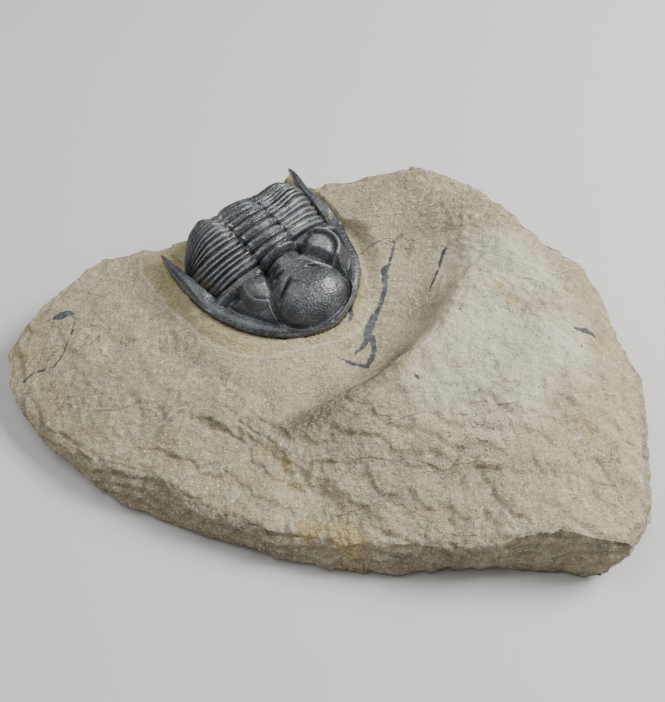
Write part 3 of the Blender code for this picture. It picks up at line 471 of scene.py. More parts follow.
def eye_height(x, y, ground):
    """The tall kidney-shaped eyes: a lid, the band of lenses round it, a slit and the foot."""
    reach, turn = eye_reach(x, y)
    window = smoothstep(132, 100, np.abs(turn)) + smoothstep(2.6, 1.6, reach)
    lower = 0.8 * smoothstep(50, 110, np.abs(turn)) * smoothstep(1.0, 3.0, reach) * (x > 0)
    domed = smooth_curve(DOMED_EYE, reach, 1, 0.14)
    dished = smooth_curve(DISHED_EYE, reach, 1, 0.14)
    slit_reach, slit_turn, slit_half = EYE_SLIT
    slit = bell(reach - slit_reach, 0.15) * smoothstep(slit_half, slit_half - 18, np.abs(turn - slit_turn))
    ringed = smoothstep(-85, -50, turn) * smoothstep(120, 90, turn)
    dished = domed + (dished - domed) * ringed
    profile = np.where(x > 0, domed - 0.8 * slit, dished + 0.2) - lower
    window = np.minimum(window, 1)
    from_furrow = np.abs(x) - smooth_curve(GLABELLA, y)
    inner = smoothstep(-0.4, 1.6, from_furrow)
    return ground + (np.maximum(profile, ground) - ground) * window * inner


def head_height(x, y, across, reach):
    """Height of the head's upper surface over its bed."""
    a = np.abs(x)
    edge = outer_margin()
    from_edge = np.minimum(distance_to(edge[::3], a, y), distance_to(edge[::3], -a, y))
    border = FRONT_BORDER_WIDTH + (BORDER_WIDTH - FRONT_BORDER_WIDTH) * smoothstep(6, 15, a)
    inside = from_edge - border
    # The rolled border, and the cheek that rises inside it
    roll = EDGE_THICKNESS + 1.3 * dome((1 - np.clip(from_edge / (0.75 * border), 0, 1)) ** 2, 0.5)
    cheek = 1.6 + 3.6 * (1 - (1 - np.clip(inside / 9.5, 0, 1)) ** 1.7)
    cheek = cheek - 0.7 * bell(inside - 0.1, 0.8)
    ground = np.where(inside < 0, soft_min(roll, 2.2 - 0.55 * bell(inside, 0.8), 0.3), cheek)
    # The furrow round the glabella, with a thin welt along its outer side
    outline = np.array(GLABELLA)
    outside = distance_to(np.stack([outline[:, 1], outline[:, 0]], axis=1), a, y)
    outside = np.where(a < smooth_curve(GLABELLA, y), -outside, outside)
    in_front = smoothstep(2.0, 5.0, y)
    ground = ground - 1.0 * bell(outside, 0.6) * smoothstep(21, 18, y)
    ground = ground + 0.5 * bell(outside - 1.0, 0.24) * in_front
    # The ridge along the head's back edge, and the furrow in front of it
    ridge = (1.7 + 3.4 * dome((a / 18.5) ** 2, 0.7)) * dome(((y - 0.55) / 1.5) ** 2, 0.3)
    back = smoothstep(-6, -1, y)
    ground = ground - 1.5 * bell(y - 2.6, 0.75) * smoothstep(17.5, 13, a)
    ground = soft_max(ground, ridge * back, 0.3)
    ground = eye_height(x, y, ground)
    head = soft_max(ground, glabella_height(x, y), 0.25)
    # The cheek spines, ridged along their middle
    spine = SPINE_EDGE_THICKNESS + (2.4 * (1 - reach) / 0.4 + 0.5) * dome((2 * across - 1) ** 2, 0.5)
    on_spine = smoothstep(-0.5, -5.0, y)
    head = head * (1 - on_spine) + np.minimum(spine, 2.9) * on_spine
    return np.maximum(head, SPINE_EDGE_THICKNESS)


def pressed(x, y):
    """The left half of the head is pressed in a little along its side."""
    along_side = smoothstep(16, 6, y) * smoothstep(-19, -11, y)
    return x + SIDE_PRESSED_IN * smoothstep(13, 20.5, -x) * along_side


def spine_lift(x, y):
    """The left cheek spine stands off the bed towards its tip."""
    return LIFTED_SPINE_RISE * smoothstep(-1, -19, y) * (x < 0)


def back_line(s):
    """(y, z, slope) of the animal's back, at the height of its rings, s behind the head."""
    arc = BEND_RADIUS * (LAST_SLOPE - FIRST_SLOPE)
    before = np.minimum(s, BEND_STARTS)
    slope = FIRST_SLOPE + np.clip(s - BEND_STARTS, 0, arc) / BEND_RADIUS
    after = np.maximum(s - BEND_STARTS - arc, 0)
    y = -before * math.cos(FIRST_SLOPE) - BEND_RADIUS * (np.sin(slope) - math.sin(FIRST_SLOPE))
    z = AXIS_HEIGHT - before * math.sin(FIRST_SLOPE) - BEND_RADIUS * (math.cos(FIRST_SLOPE) - np.cos(slope))
    return y - after * math.cos(LAST_SLOPE), z - after * math.sin(LAST_SLOPE), slope


def tail_share(p):
    """0 in front of the tail shield and 1 at its end, p along the body."""
    return np.clip((p - THORAX_LENGTH) / TAIL_LENGTH, 0, 1)


def axis_half_width(p):
    return AXIS_HALF_WIDTH * (1 - 0.12 * p / THORAX_LENGTH) * (1 - 0.75 * tail_share(p))


def body_half_width(p):
    """Half the width of the thorax and tail, with a point on each segment and the tail's spines."""
    t = tail_share(p)
    gap = (p / SEGMENT_PITCH + 0.5) % 1 - 0.5
    thorax = THORAX_HALF_WIDTH - THORAX_NARROWS * smoothstep(0, THORAX_LENGTH, p)
    thorax = thorax - 0.5 * bell(gap, 0.14)
    tail = (THORAX_HALF_WIDTH - THORAX_NARROWS) * (1 - t**1.7) ** 0.75
    tooth = (t * (TAIL_SPINES + 0.5)) % 1
    tail = tail + 1.3 * tooth**1.5 * smoothstep(0, 0.12, t) * (1 - 0.4 * t)
    return np.where(t > 0, np.maximum(tail, 0.6), thorax)


def swept(p, out, a):
    """How far along the body a place is, where the ribs curve back and the rings curve forwards."""
    t = tail_share(p)
    back = (0.9 + 2.2 * p / THORAX_LENGTH + 2.0 * t) * (1 - t**2) * np.clip(out, 0, 1) ** 1.6
    forward = 0.5 * np.clip(1 - (a / axis_half_width(p)) ** 2, 0, 1) * (1 - t)
    return p + back - forward


def place_in_segment(p):
    """How far along its segment or tail rib a place is, and how far from the nearest gap."""
    t = tail_share(p)
    place = np.where(t > 0, t * TAIL_RIBS, p / SEGMENT_PITCH) % 1
    return place, np.minimum(place, 1 - place)


def seam_place(out):
    """Where along a segment the groove between its two ribs lies."""
    return 0.4 + 0.08 * out


def rib_height(p, out):
    """The ribs of the flanks: two to a segment, a thin and a broad one, with grooves between."""
    place, gap = place_in_segment(p)
    seam = seam_place(out)
    ribs = -0.6 * bell(gap, 0.065) - 0.45 * bell(place - seam, 0.05)
    ribs = ribs + 0.12 * bell(place - 0.5 * seam, 0.08) + 0.16 * bell(place - 0.5 - 0.5 * seam, 0.12)
    return ribs - 0.22 * bell(place - 0.5 - 0.62 * seam, 0.035) * smoothstep(0.1, 0.35, out)


def body_height(p, v, half_width):
    """Height of the thorax and tail over their bed, p along and v across."""
    a = np.abs(v)
    t = tail_share(p)
    axis = axis_half_width(p)
    out = np.clip((a - axis) / np.maximum(half_width - axis, 0.1), 0, 1)
    place, gap = place_in_segment(p)
    ribs = rib_height(p, out) * (1 - 0.4 * t) * smoothstep(1.02, 0.85, out * t)
    ribs = ribs * smoothstep(0, 0.08, out) * (0.75 + 0.25 * smoothstep(0.1, 0.4, out))
    # The flanks, and the rings of the axis between them with a swelling and a groove on each
    side_height = PLEURA_HEIGHT * (1 - 0.35 * t)
    flank = side_height * np.clip(1 - out**2.3, 0, 1) ** 0.8 + ribs
    top = AXIS_HEIGHT - (AXIS_HEIGHT - 3.4) * t**1.3 - BACK_FLATTENED * smoothstep(6, 15, p)
    knob = bell(a - axis - 0.15, 0.8) * bell(place - 0.5, 0.27) * (1 - t) * np.where(v > 0, 1.05, 0.5)
    shoulder = side_height * 0.97
    crown = shoulder + (top - shoulder) * dome((a / axis) ** 2, 0.8)
    swell = 0.3 * bell(place - 0.6, 0.24) * (1 - t)
    crown = crown + swell - 0.75 * bell(gap, 0.08) * (1 - 0.55 * t)
    crown = crown - 0.35 * bell(place - 0.24, 0.05) * smoothstep(1.0, 0.6, a / axis) * (1 - t)
    # The furrow along the axis, with a pit at each gap and a knob beside each ring
    furrow = 0.18 * bell(a - axis - 0.2, 0.4) * (1 - 0.6 * t)
    pit = 0.5 * bell(a - axis - 0.1, 0.45) * bell(gap, 0.17) * (1 - t)
    height = np.where(a < axis, crown, flank - furrow) - pit + knob
    height = height - 2.2 * smoothstep(0.9, -0.4, p)
    return np.maximum(height * (1 - 0.85 * smoothstep(0.9, 1.0, t)), 0.05)


def flank_raised(v, s):
    """The flanks stand higher where the thorax bends down: the left by its tips, the right inside."""
    left = LEFT_FLANK_RAISED * smoothstep(-8, -15, v) * smoothstep(2, 12, s)
    right = RIGHT_FLANK_RAISED * smoothstep(4, 8, v) * smoothstep(17, 11, v) * smoothstep(5, 14, s)
    return (left + right) * smoothstep(36, 22, s)


def flank_wider(v, s):
    """The right flank is spread out a little behind its first segments."""
    return RIGHT_FLANK_WIDER * smoothstep(11, 17, v) * smoothstep(2, 8, s) * smoothstep(36, 24, s)


def body_point(v, s, height):
    """The animal's own x, y and z of a place v across, s along and height over the bed."""
    y, z, slope = back_line(s)
    above = height - AXIS_HEIGHT
    return v, y - above * np.sin(slope), z + above * np.cos(slope)


def place_on_body(x, y, z):
    """The other way round: v across, s along and height over the bed of the animal's x, y and z."""
    sine, cosine = math.sin(FIRST_SLOPE), math.cos(FIRST_SLOPE)
    start_y, start_z, _ = back_line(np.array(BEND_STARTS))
    centre_y, centre_z = start_y + BEND_RADIUS * sine, start_z - BEND_RADIUS * cosine
    slope = np.arctan2(centre_y - y, z - centre_z)
    on_arc = np.clip(slope, FIRST_SLOPE, LAST_SLOPE)
    foot_y = centre_y - BEND_RADIUS * np.sin(on_arc)
    foot_z = centre_z + BEND_RADIUS * np.cos(on_arc)
    past = -(y - foot_y) * np.cos(on_arc) - (z - foot_z) * np.sin(on_arc)
    above = -(y - foot_y) * np.sin(on_arc) + (z - foot_z) * np.cos(on_arc)
    return x, BEND_STARTS + (on_arc - FIRST_SLOPE) * BEND_RADIUS + past, above + AXIS_HEIGHT


def specimen_matrix():
    """Where the animal lies in the slab's frame, in millimetres."""
    turn = Matrix.Rotation(BED_SLOPE, 4, "X") @ Matrix.Rotation(HEADING, 4, "Z")
    return Matrix.Translation(HEAD_FRONT) @ turn @ Matrix.Translation((0, -HEAD_LENGTH, 0))


def moved(matrix, x, y, z):
    """Places carried by a matrix, one row each."""
    points = np.stack([np.ravel(x), np.ravel(y), np.ravel(z), np.ones(np.size(x))], axis=1)
    return (points @ np.array(matrix).T)[:, :3]


def grid_faces(columns, rows, start=0):
    """Quads over a grid of points, column by column."""
    i, j = np.meshgrid(np.arange(columns - 1), np.arange(rows - 1), indexing="ij")
    a = (start + i * rows + j).ravel()
    return np.stack([a, a + rows, a + rows + 1, a + 1], axis=1)


def mesh_object(name, points, faces):
    """A smooth-shaded object from points in the slab's frame, in millimetres."""
    mesh = bpy.data.meshes.new(name)
    mesh.from_pydata(((points - MIDDLE) * MM).tolist(), [], [tuple(f) for f in faces])
    mesh.validate()
    mesh.shade_smooth()
    obj = bpy.data.objects.new(name, mesh)
    bpy.context.scene.collection.objects.link(obj)
    return obj


def face_outwards(obj):
    made = bmesh.new()
    made.from_mesh(obj.data)
    bmesh.ops.recalc_face_normals(made, faces=made.faces)
    made.to_mesh(obj.data)
    made.free()


def store(obj, name, values):
    """Keeps one number for each point of the mesh under a name that materials read."""
    attribute = obj.data.attributes.new(name, "FLOAT", "POINT")
    attribute.data.foreach_set("value", np.ascontiguousarray(values, dtype=np.float32))


def closed_sheet(name, top, under, columns, rows, across=False):
    """A closed piece of shell: a fine upper surface, and an underside of one strip of faces.

    The strip joins two underside points for each column, or for each row where it runs across.
    """
    grid = np.arange(columns * rows).reshape(columns, rows)
    lines = (grid.T if across else grid).tolist()
    faces = grid_faces(columns, rows).tolist()
    first = list(range(grid.size, grid.size + 2 * len(lines), 2))
    last = [k + 1 for k in first]
    for i, n in zip(range(len(lines)), range(1, len(lines))):
        faces.append((first[i], first[n], lines[n][0], lines[i][0]))
        faces.append((lines[i][-1], lines[n][-1], last[n], last[i]))
        faces.append((first[n], first[i], last[i], last[n]))
    faces.append(lines[0] + [last[0], first[0]])
    faces.append((lines[-1] + [last[-1], first[-1]])[::-1])
    obj = mesh_object(name, np.concatenate([top, under]), faces)
    face_outwards(obj)
    return obj


def material(name):
    made = bpy.data.materials.new(name)
    made.use_nodes = True
    return made, made.node_tree, made.node_tree.nodes["Principled BSDF"]


def plug(tree, socket, value):
    """Links another node's socket to this one, or sets a number or a colour on it."""
    if isinstance(value, bpy.types.NodeSocket):
        tree.links.new(value, socket)
    elif isinstance(value, (int, float)):
        socket.default_value = value
    else:
        socket.default_value = (*value, 1)


def node(tree, kind, inputs, **settings):
    """Adds a node with its settings, and with numbers, colours or links on its inputs."""
    made = tree.nodes.new(kind)
    for key, value in settings.items():
        setattr(made, key, value)
    for key, value in inputs.items():
        plug(tree, made.inputs[key], value)
    return made


def noise_of(tree, place, scale, detail=4.0, roughness=0.55, distortion=0.0):
    """A cloudy pattern; scale is in repeats for each metre."""
    inputs = {
        "Vector": place, "Scale": scale, "Detail": detail, "Roughness": roughness,
        "Distortion": distortion,
    }
    return node(tree, "ShaderNodeTexNoise", inputs).outputs["Fac"]


def maths(tree, operation, a, b=0.0):
    return node(tree, "ShaderNodeMath", {0: a, 1: b}, operation=operation).outputs[0]


def plus(tree, a, b, share=1.0):
    """Adds a share of b to a."""
    return maths(tree, "ADD", a, b if share == 1.0 else maths(tree, "MULTIPLY", b, share))


def wobble_of(tree, cloud, width):
    """A cloudy pattern as a push to both sides, for ragged edges."""
    return maths(tree, "MULTIPLY", maths(tree, "SUBTRACT", cloud, 0.5), width)


def ranged(tree, value, low, high, to_low=0.0, to_high=1.0):
    """Turns smoothly from to_low to to_high as the value goes from low to high."""
    inputs = {"Value": value, "From Min": low, "From Max": high, "To Min": to_low, "To Max": to_high}
    made = node(tree, "ShaderNodeMapRange", inputs, interpolation_type="SMOOTHSTEP")
    return made.outputs["Result"]


def mixed(tree, share, a, b):
    """Colour a turning to colour b as share goes from 0 to 1."""
    return node(tree, "ShaderNodeMix", {0: share, 6: a, 7: b}, data_type="RGBA").outputs[2]


def laid_on(tree, colour, layers):
    """Lays colours over one another, each where its pattern goes from low to high."""
    for pattern, low, high, share, over in layers:
        colour = mixed(tree, ranged(tree, pattern, low, high, 0.0, share), colour, over)
    return colour


def stored(tree, name):
    return node(tree, "ShaderNodeAttribute", {}, attribute_name=name).outputs["Fac"]


def object_place(tree):
    return node(tree, "ShaderNodeTexCoord", {}).outputs["Object"]


def roughened(tree, shader, bumps):
    """Stacks bumps on a shader; each has a pattern, a strength and a depth in metres."""
    under = {}
    for pattern, strength, depth in bumps:
        inputs = {"Height": pattern, "Strength": strength, "Distance": depth, **under}
        under = {"Normal": node(tree, "ShaderNodeBump", inputs).outputs["Normal"]}
    plug(tree, shader.inputs["Normal"], under["Normal"])


def shell_material(look):
    """Black-blue fossil shell: satin, pitted, paler on its crests, partly as wear and partly as painted
    highlights, and brown where it has weathered.
    """
    made, tree, shader = material("fossil shell")
    place = object_place(tree)
    broad = noise_of(tree, place, 180, 5, 0.6)
    fine = noise_of(tree, place, 1500, 4, 0.6)
    dust = maths(tree, "MULTIPLY", ranged(tree, fine, 0.56, 0.7), ranged(tree, broad, 0.4, 0.62))
    rusty = ranged(tree, plus(tree, stored(tree, "weathered"), broad, 0.9), 0.9, 1.3)
    crest = plus(tree, stored(tree, "crest"), wobble_of(tree, fine, 1.1))
    colour = mixed(tree, ranged(tree, broad, 0.35, 0.7), look.dark, look.light)
    # Painted highlights: the crests are laid pale with the worn colour, which stands for wear and for light
    # catching the ridges
    colour = laid_on(tree, colour, ((crest, 0.3, 1.0, look.paling, look.worn),))
    colour = mixed(tree, maths(tree, "MULTIPLY", dust, look.dust), colour, look.dust_colour)
    brown = mixed(tree, ranged(tree, fine, 0.5, 0.66), look.rust, look.ochre)
    plug(tree, shader.inputs["Base Color"], mixed(tree, rusty, colour, brown))
    gloss = ranged(tree, fine, 0.3, 0.75, look.roughness - 0.06, look.roughness + 0.2)
    plug(tree, shader.inputs["Roughness"], plus(tree, gloss, rusty, 0.25))
    shader.inputs["Specular IOR Level"].default_value = 0.6
    shader.inputs["Coat Weight"].default_value = 0.35
    shader.inputs["Coat Roughness"].default_value = 0.13
    pits = node(tree, "ShaderNodeTexVoronoi", {"Vector": place, "Scale": 2600.0}).outputs["Distance"]
    roughened(tree, shader, ((pits, 0.5, 0.00018), (fine, 0.6, 0.0003)))
    return made


def limestone_material(look):
    """Sandy grey limestone: mottled and grainy, with tool marks, stains, a tan ring and veins, and with
    painted light and shade: paler on the bulge, greyer in the hollow and darker on the front faces.
    """
    made, tree, shader = material("limestone")
    place = object_place(tree)
    broad = noise_of(tree, place, 28, 5, 0.55)
    middle = noise_of(tree, place, 110, 6, 0.6, 0.6)
    fine = noise_of(tree, place, 700, 5, 0.65)
    grain = noise_of(tree, place, 2200, 3, 0.6)
    marks = tool_marks(tree, place)
    cracks = cracks_in(tree, place)
    narrow = wobble_of(tree, fine, 1.2)
    wide = wobble_of(tree, middle, 3.0)
    half_wide = maths(tree, "MULTIPLY", wide, 0.6)
    bleached, greyed, tan, face = (
        plus(tree, stored(tree, name), half_wide) for name in ("bleached", "greyed", "tan", "face")
    )
    halo = plus(tree, stored(tree, "halo"), plus(tree, narrow, half_wide))
    halo_rim = maths(tree, "ABSOLUTE", maths(tree, "SUBTRACT", halo, 0.55))
    face_and_shade_colour = mixed(tree, ranged(tree, fine, 0.35, 0.65), look.face_dark, look.face)
    halo_colour = mixed(tree, ranged(tree, middle, 0.35, 0.65), look.halo, look.halo_pale)
    vein_colour = mixed(tree, ranged(tree, fine, 0.4, 0.65), look.vein, look.vein_light)
    colour = mixed(tree, ranged(tree, middle, 0.3, 0.7), look.shade, look.base)
    colour = laid_on(tree, colour, (
        (broad, 0.42, 0.7, 0.7, look.warm),
        (fine, 0.54, 0.7, 0.7, look.pale),
        (fine, 0.46, 0.3, 0.6, look.dark),
        # Painted light: paler over the bulge that faces the light
        (bleached, 0.1, 1.3, 0.75, look.pale),
        # Painted shade: greyer and darker in the hollow and along its wall's foot
        (greyed, 0.0, 1.2, 0.85, look.grey),
        (tan, 0.2, 1.3, 0.75, look.tan),
        # The broken faces' colour: dark weathering and painted shade together
        (face, 0.3, 1.2, 0.85, face_and_shade_colour),
        (plus(tree, stored(tree, "rust"), wide, 1.1), 0.35, 1.2, 0.65, look.rust),
        (plus(tree, stored(tree, "brown"), wide, 1.5), 0.5, 1.5, 0.6, look.brown),
        (halo, 0.22, -0.2, 0.85, halo_colour),
        (halo_rim, 0.5, 0.1, 0.4, look.pale),
        (plus(tree, stored(tree, "thread"), narrow, 0.35), 0.1, -0.05, 0.75, look.thread),
        (marks, 0.52, 0.66, 0.2, look.pale),
        (marks, 0.46, 0.33, 0.2, look.dark),
        (grain, 0.53, 0.68, look.grain, look.pale),
        (grain, 0.46, 0.33, look.grain, look.dark),
    ))
    vein = ranged(tree, plus(tree, stored(tree, "vein"), narrow, 0.8), 0.12, -0.06, 0.0, 0.93)
    for share, over in (
        (maths(tree, "MULTIPLY", cracks, 0.75), look.dark),
        (specks_of(tree, place, 340.0, 0.1), look.fleck),
        (specks_of(tree, place, 240.0, 0.09), look.vein_light),
        (vein, vein_colour),
    ):
        colour = mixed(tree, share, colour, over)
    plug(tree, shader.inputs["Base Color"], colour)
    dull = ranged(tree, fine, 0.3, 0.7, 0.78, 0.95)
    plug(tree, shader.inputs["Roughness"], plus(tree, dull, vein, -0.35))
    shader.inputs["Specular IOR Level"].default_value = 0.3
    roughened(tree, shader, (
        (fine, 0.7, 0.0010), (marks, 0.45, 0.0006), (cracks, 0.5, -0.0005), (grain, 0.6, 0.0004),
    ))
    return made


def specks_of(tree, place, scale, radius):
    """Tiny round specks, a few to the square centimetre."""
    cells = node(tree, "ShaderNodeTexVoronoi", {"Vector": place, "Scale": scale})
    chosen = ranged(tree, cells.outputs["Color"], 0.52, 0.56)
    near = ranged(tree, cells.outputs["Distance"], radius, 0.6 * radius)
    return maths(tree, "MULTIPLY", chosen, near)


def cracks_in(tree, place):
    """Hairline cracks that come and go."""
    bend = maths(tree, "MULTIPLY", noise_of(tree, place, 60, 4, 0.6), 0.03)
    push = node(tree, "ShaderNodeCombineXYZ", {"X": bend}).outputs[0]
    bent = node(tree, "ShaderNodeMapping", {"Vector": place, "Location": push}).outputs[0]
    cells = node(
        tree, "ShaderNodeTexVoronoi", {"Vector": bent, "Scale": 75.0}, feature="DISTANCE_TO_EDGE"
    )
    present = ranged(tree, noise_of(tree, place, 45, 3, 0.5), 0.5, 0.62)
    return maths(tree, "MULTIPLY", ranged(tree, cells.outputs["Distance"], 0.016, 0.004), present)


def tool_marks(tree, place):
    """Fine strokes left by the preparer: along the hollow's wall, and slanting on the bulge."""
    off_wall = stored(tree, "off_wall")
    across = maths(tree, "MULTIPLY", off_wall, 1.5)
    along_wall = maths(tree, "MULTIPLY", stored(tree, "along_wall"), 0.16)
    turned = node(tree, "ShaderNodeCombineXYZ", {"X": across, "Y": along_wall}).outputs[0]
    curved = noise_of(tree, turned, 1.0, 3, 0.6)
    mapping = node(tree, "ShaderNodeMapping", {"Vector": place})
    mapping.inputs["Rotation"].default_value = (0, 0, math.radians(52))
    mapping.inputs["Scale"].default_value = (260, 1000, 260)
    slanting = noise_of(tree, mapping.outputs[0], 1.0, 3, 0.6, 0.7)
    near_wall = ranged(tree, maths(tree, "ABSOLUTE", off_wall), 9.0, 5.0)
    return node(tree, "ShaderNodeMix", {0: near_wall, 2: slanting, 3: curved}).outputs[0]


def around(ring, samples):
    """x, y and z at evenly turned places round a closed edge, clockwise from its first point."""
    points = np.array(ring, dtype=float)
    closed = np.concatenate([points, points[:1]])
    turn = np.unwrap(-np.arctan2(closed[:, 1] - SLAB_CENTRE[1], closed[:, 0] - SLAB_CENTRE[0]))
    wanted = turn[0] + np.arange(samples) / samples * 2 * math.pi
    return np.stack([np.interp(wanted, turn, closed[:, i]) for i in range(3)], axis=1)


def thin_plate(points, x, y):
    """A smooth surface through all the points, read at x and y."""
    known = np.array(points, dtype=float)
    scale = 50
    xy, z = known[:, :2] / scale, known[:, 2]

    def kernel(a, b):
        r2 = ((a[:, None, :] - b[None, :, :]) ** 2).sum(axis=2) + 1e-9
        return 0.5 * r2 * np.log(r2)

    count = len(xy)
    flat = np.concatenate([np.ones((count, 1)), xy], axis=1)
    system = np.zeros((count + 3, count + 3))
    system[:count, :count] = kernel(xy, xy)
    system[:count, count:] = flat
    system[count:, :count] = flat.T
    weights = np.linalg.solve(system, np.concatenate([z, np.zeros(3)]))
    wanted = np.stack([np.ravel(x), np.ravel(y)], axis=1) / scale
    height = kernel(wanted, xy) @ weights[:count]
    height = height + np.concatenate([np.ones((len(wanted), 1)), wanted], axis=1) @ weights[count:]
    return height.reshape(np.shape(x))


def side_of(line, x, y):
    """Signed distance from a line, more than nothing on its right, and how far along it is."""
    side = np.zeros(x.shape)
    travelled = np.zeros(x.shape)
    nearest = np.full(x.shape, 1e9)
    before = 0.0
    for (ax, ay), (bx, by) in zip(line, line[1:]):
        length = math.hypot(bx - ax, by - ay)
        ux, uy = (bx - ax) / length, (by - ay) / length
        t = np.clip((x - ax) * ux + (y - ay) * uy, 0, length)
        away = np.hypot(x - ax - t * ux, y - ay - t * uy)
        right = (x - ax) * uy - (y - ay) * ux
        closer = away < nearest
        side = np.where(closer, np.where(right > 0, away, -away), side)
        travelled = np.where(closer, before + t, travelled)
        nearest = np.where(closer, away, nearest)
        before += length
    return side, travelled, before


def fading_ends(travelled, length, rise, fall):
    """0 at both ends of a line and 1 between them; rise and fall are shares of its length."""
    return smoothstep(0, rise * length, travelled) * smoothstep(length, (1 - fall) * length, travelled)


def ledge(line, drop, reach, x, y):
    """A step down along the right of a line, which fades out away from it and at its ends."""
    side, travelled, length = side_of(line, x, y)
    step = smoothstep(-1.2, 1.2, side) * np.exp(-np.abs(side) / reach)
    return -drop * step * fading_ends(travelled, length, 0.2, 0.2)


def valley(line, depth, width, x, y):
    side, travelled, length = side_of(line, x, y)
    return -depth * bell(side, width) * fading_ends(travelled, length, 0.3, 0.3)


def wall_step(x, y):
    """Sharpens the wall of the hollow: raised on its right, lowered on its left."""
    side, travelled, length = side_of(HOLLOW_WALL, x, y)
    step = np.tanh(side / WALL_HALF_WIDTH) * np.exp(-np.abs(side) / WALL_REACH)
    return WALL_RISE * step * fading_ends(travelled, length, 0.16, 0.4)


def distance_outside(ring, points):
    """How far places are outside a closed line on the slab's top, less than nothing inside it."""
    x, y = points[..., 0], points[..., 1]
    closed = ring + ring[:1]
    crossings = np.zeros(x.shape, dtype=int)
    for (ax, ay), (bx, by) in zip(closed, closed[1:]):
        spans = (ay > y) != (by > y)
        at = ax + (y - ay) * (bx - ax) / (by - ay if by != ay else 1)
        crossings += spans & (x < at)
    away = distance_to(closed, x, y)
    return np.where(crossings % 2 == 1, -away, away)


def broken_face_and_shade(points):
    """1 on the broken faces round the front and right of the slab, 0 on its top; their colour is partly
    weathering and partly painted shade, as they turn from the light.
    """
    x, y, z = points.T
    front_left = smoothstep(1.2, -1.2, distance_above(FRONT_LEFT_EDGE, x, y))
    front_right = smoothstep(1.2, -1.2, distance_above(FRONT_RIGHT_EDGE, x, y))
    side = smoothstep(0.5, 0.1, top_share(points)) * smoothstep(0.0, -12.0, y)
    return np.maximum(np.maximum(front_left, front_right), 0.8 * side)


def distance_above(line, x, y):
    """How far places lie behind a line that runs from left to right, and 9 past its ends."""
    marks = np.array(line)
    return np.where((x > marks[0, 0]) & (x < marks[-1, 0]), y - np.interp(x, *marks.T), 9.0)


def own_place(points):
    """Places on the slab in the animal's own frame."""
    return moved(specimen_matrix().inverted(), points[:, 0], points[:, 1], points[:, 2])


def unpressed(x, y):
    """The places that pressing in the left side has moved to x and y."""
    before = x
    for _ in range(3):
        before = before - (pressed(before, y) - x)
    return before


def from_head(own):
    """How far places are outside the head's edge, less than nothing inside it."""
    edge = outer_margin()
    x, y = np.abs(unpressed(own[:, 0], own[:, 1])), own[:, 1]
    away = distance_to(edge[::2], x, y)
    inside = x < np.interp(y, edge[::-1, 1], edge[::-1, 0], right=0)
    return np.where(inside & (y > edge[-1, 1]), -away, away)


def top_height(x, y):
    """Height of the slab's upper face, before its fine relief."""
    height = thin_plate(SHOULDER + LEFT_LOBE + HOLLOW_FLOOR + RIGHT_BULGE, x, y)
    flat = np.stack([x, y, 0 * x], axis=-1)
    wander = cloudy(flat, 5.0, 3, shift=9.0)
    for line, drop, reach in LEDGES:
        height = height + ledge(line, drop, reach, x + 1.6 * wander, y + 1.3 * wander)
    for line, depth, width in VALLEYS:
        height = height + valley(line, depth, width, x + 1.5 * wander, y + wander)
    height = height + wall_step(x, y)
    own_x, own_y, bed = bed_at(x, y)
    near = from_head(np.stack([own_x.ravel(), own_y.ravel()], axis=1)).reshape(x.shape)
    # Beside the left cheek spine the ground is low and gentle
    beside = smoothstep(2, -2, own_x) * smoothstep(-17, -12, own_y) * smoothstep(8, 0, own_y)
    gentle = soft_min(height, bed + 1.3 + 0.3 * np.maximum(near, 0), 1.2)
    height = height + (gentle - height) * beside
    # Next to the head it comes down to the bed, over a band that is widest at the front
    level = 2.2 + 3.3 * smoothstep(-8, 2, own_y)
    level = level + (0.7 - level) * beside
    held = smoothstep(level, np.minimum(1.0, 0.3 * level), near) * smoothstep(-16, -5, own_y)
    return height + (bed + 0.2 - height) * held


def bed_at(x, y):
    """The animal's own x and y over places on the slab, and the height of its bed there."""
    axes = np.array(specimen_matrix())
    away = np.stack([x - axes[0, 3], y - axes[1, 3]], axis=-1) @ np.linalg.inv(axes[:2, :2]).T
    return away[..., 0], away[..., 1], axes[2, 3] + away @ axes[2, :2]


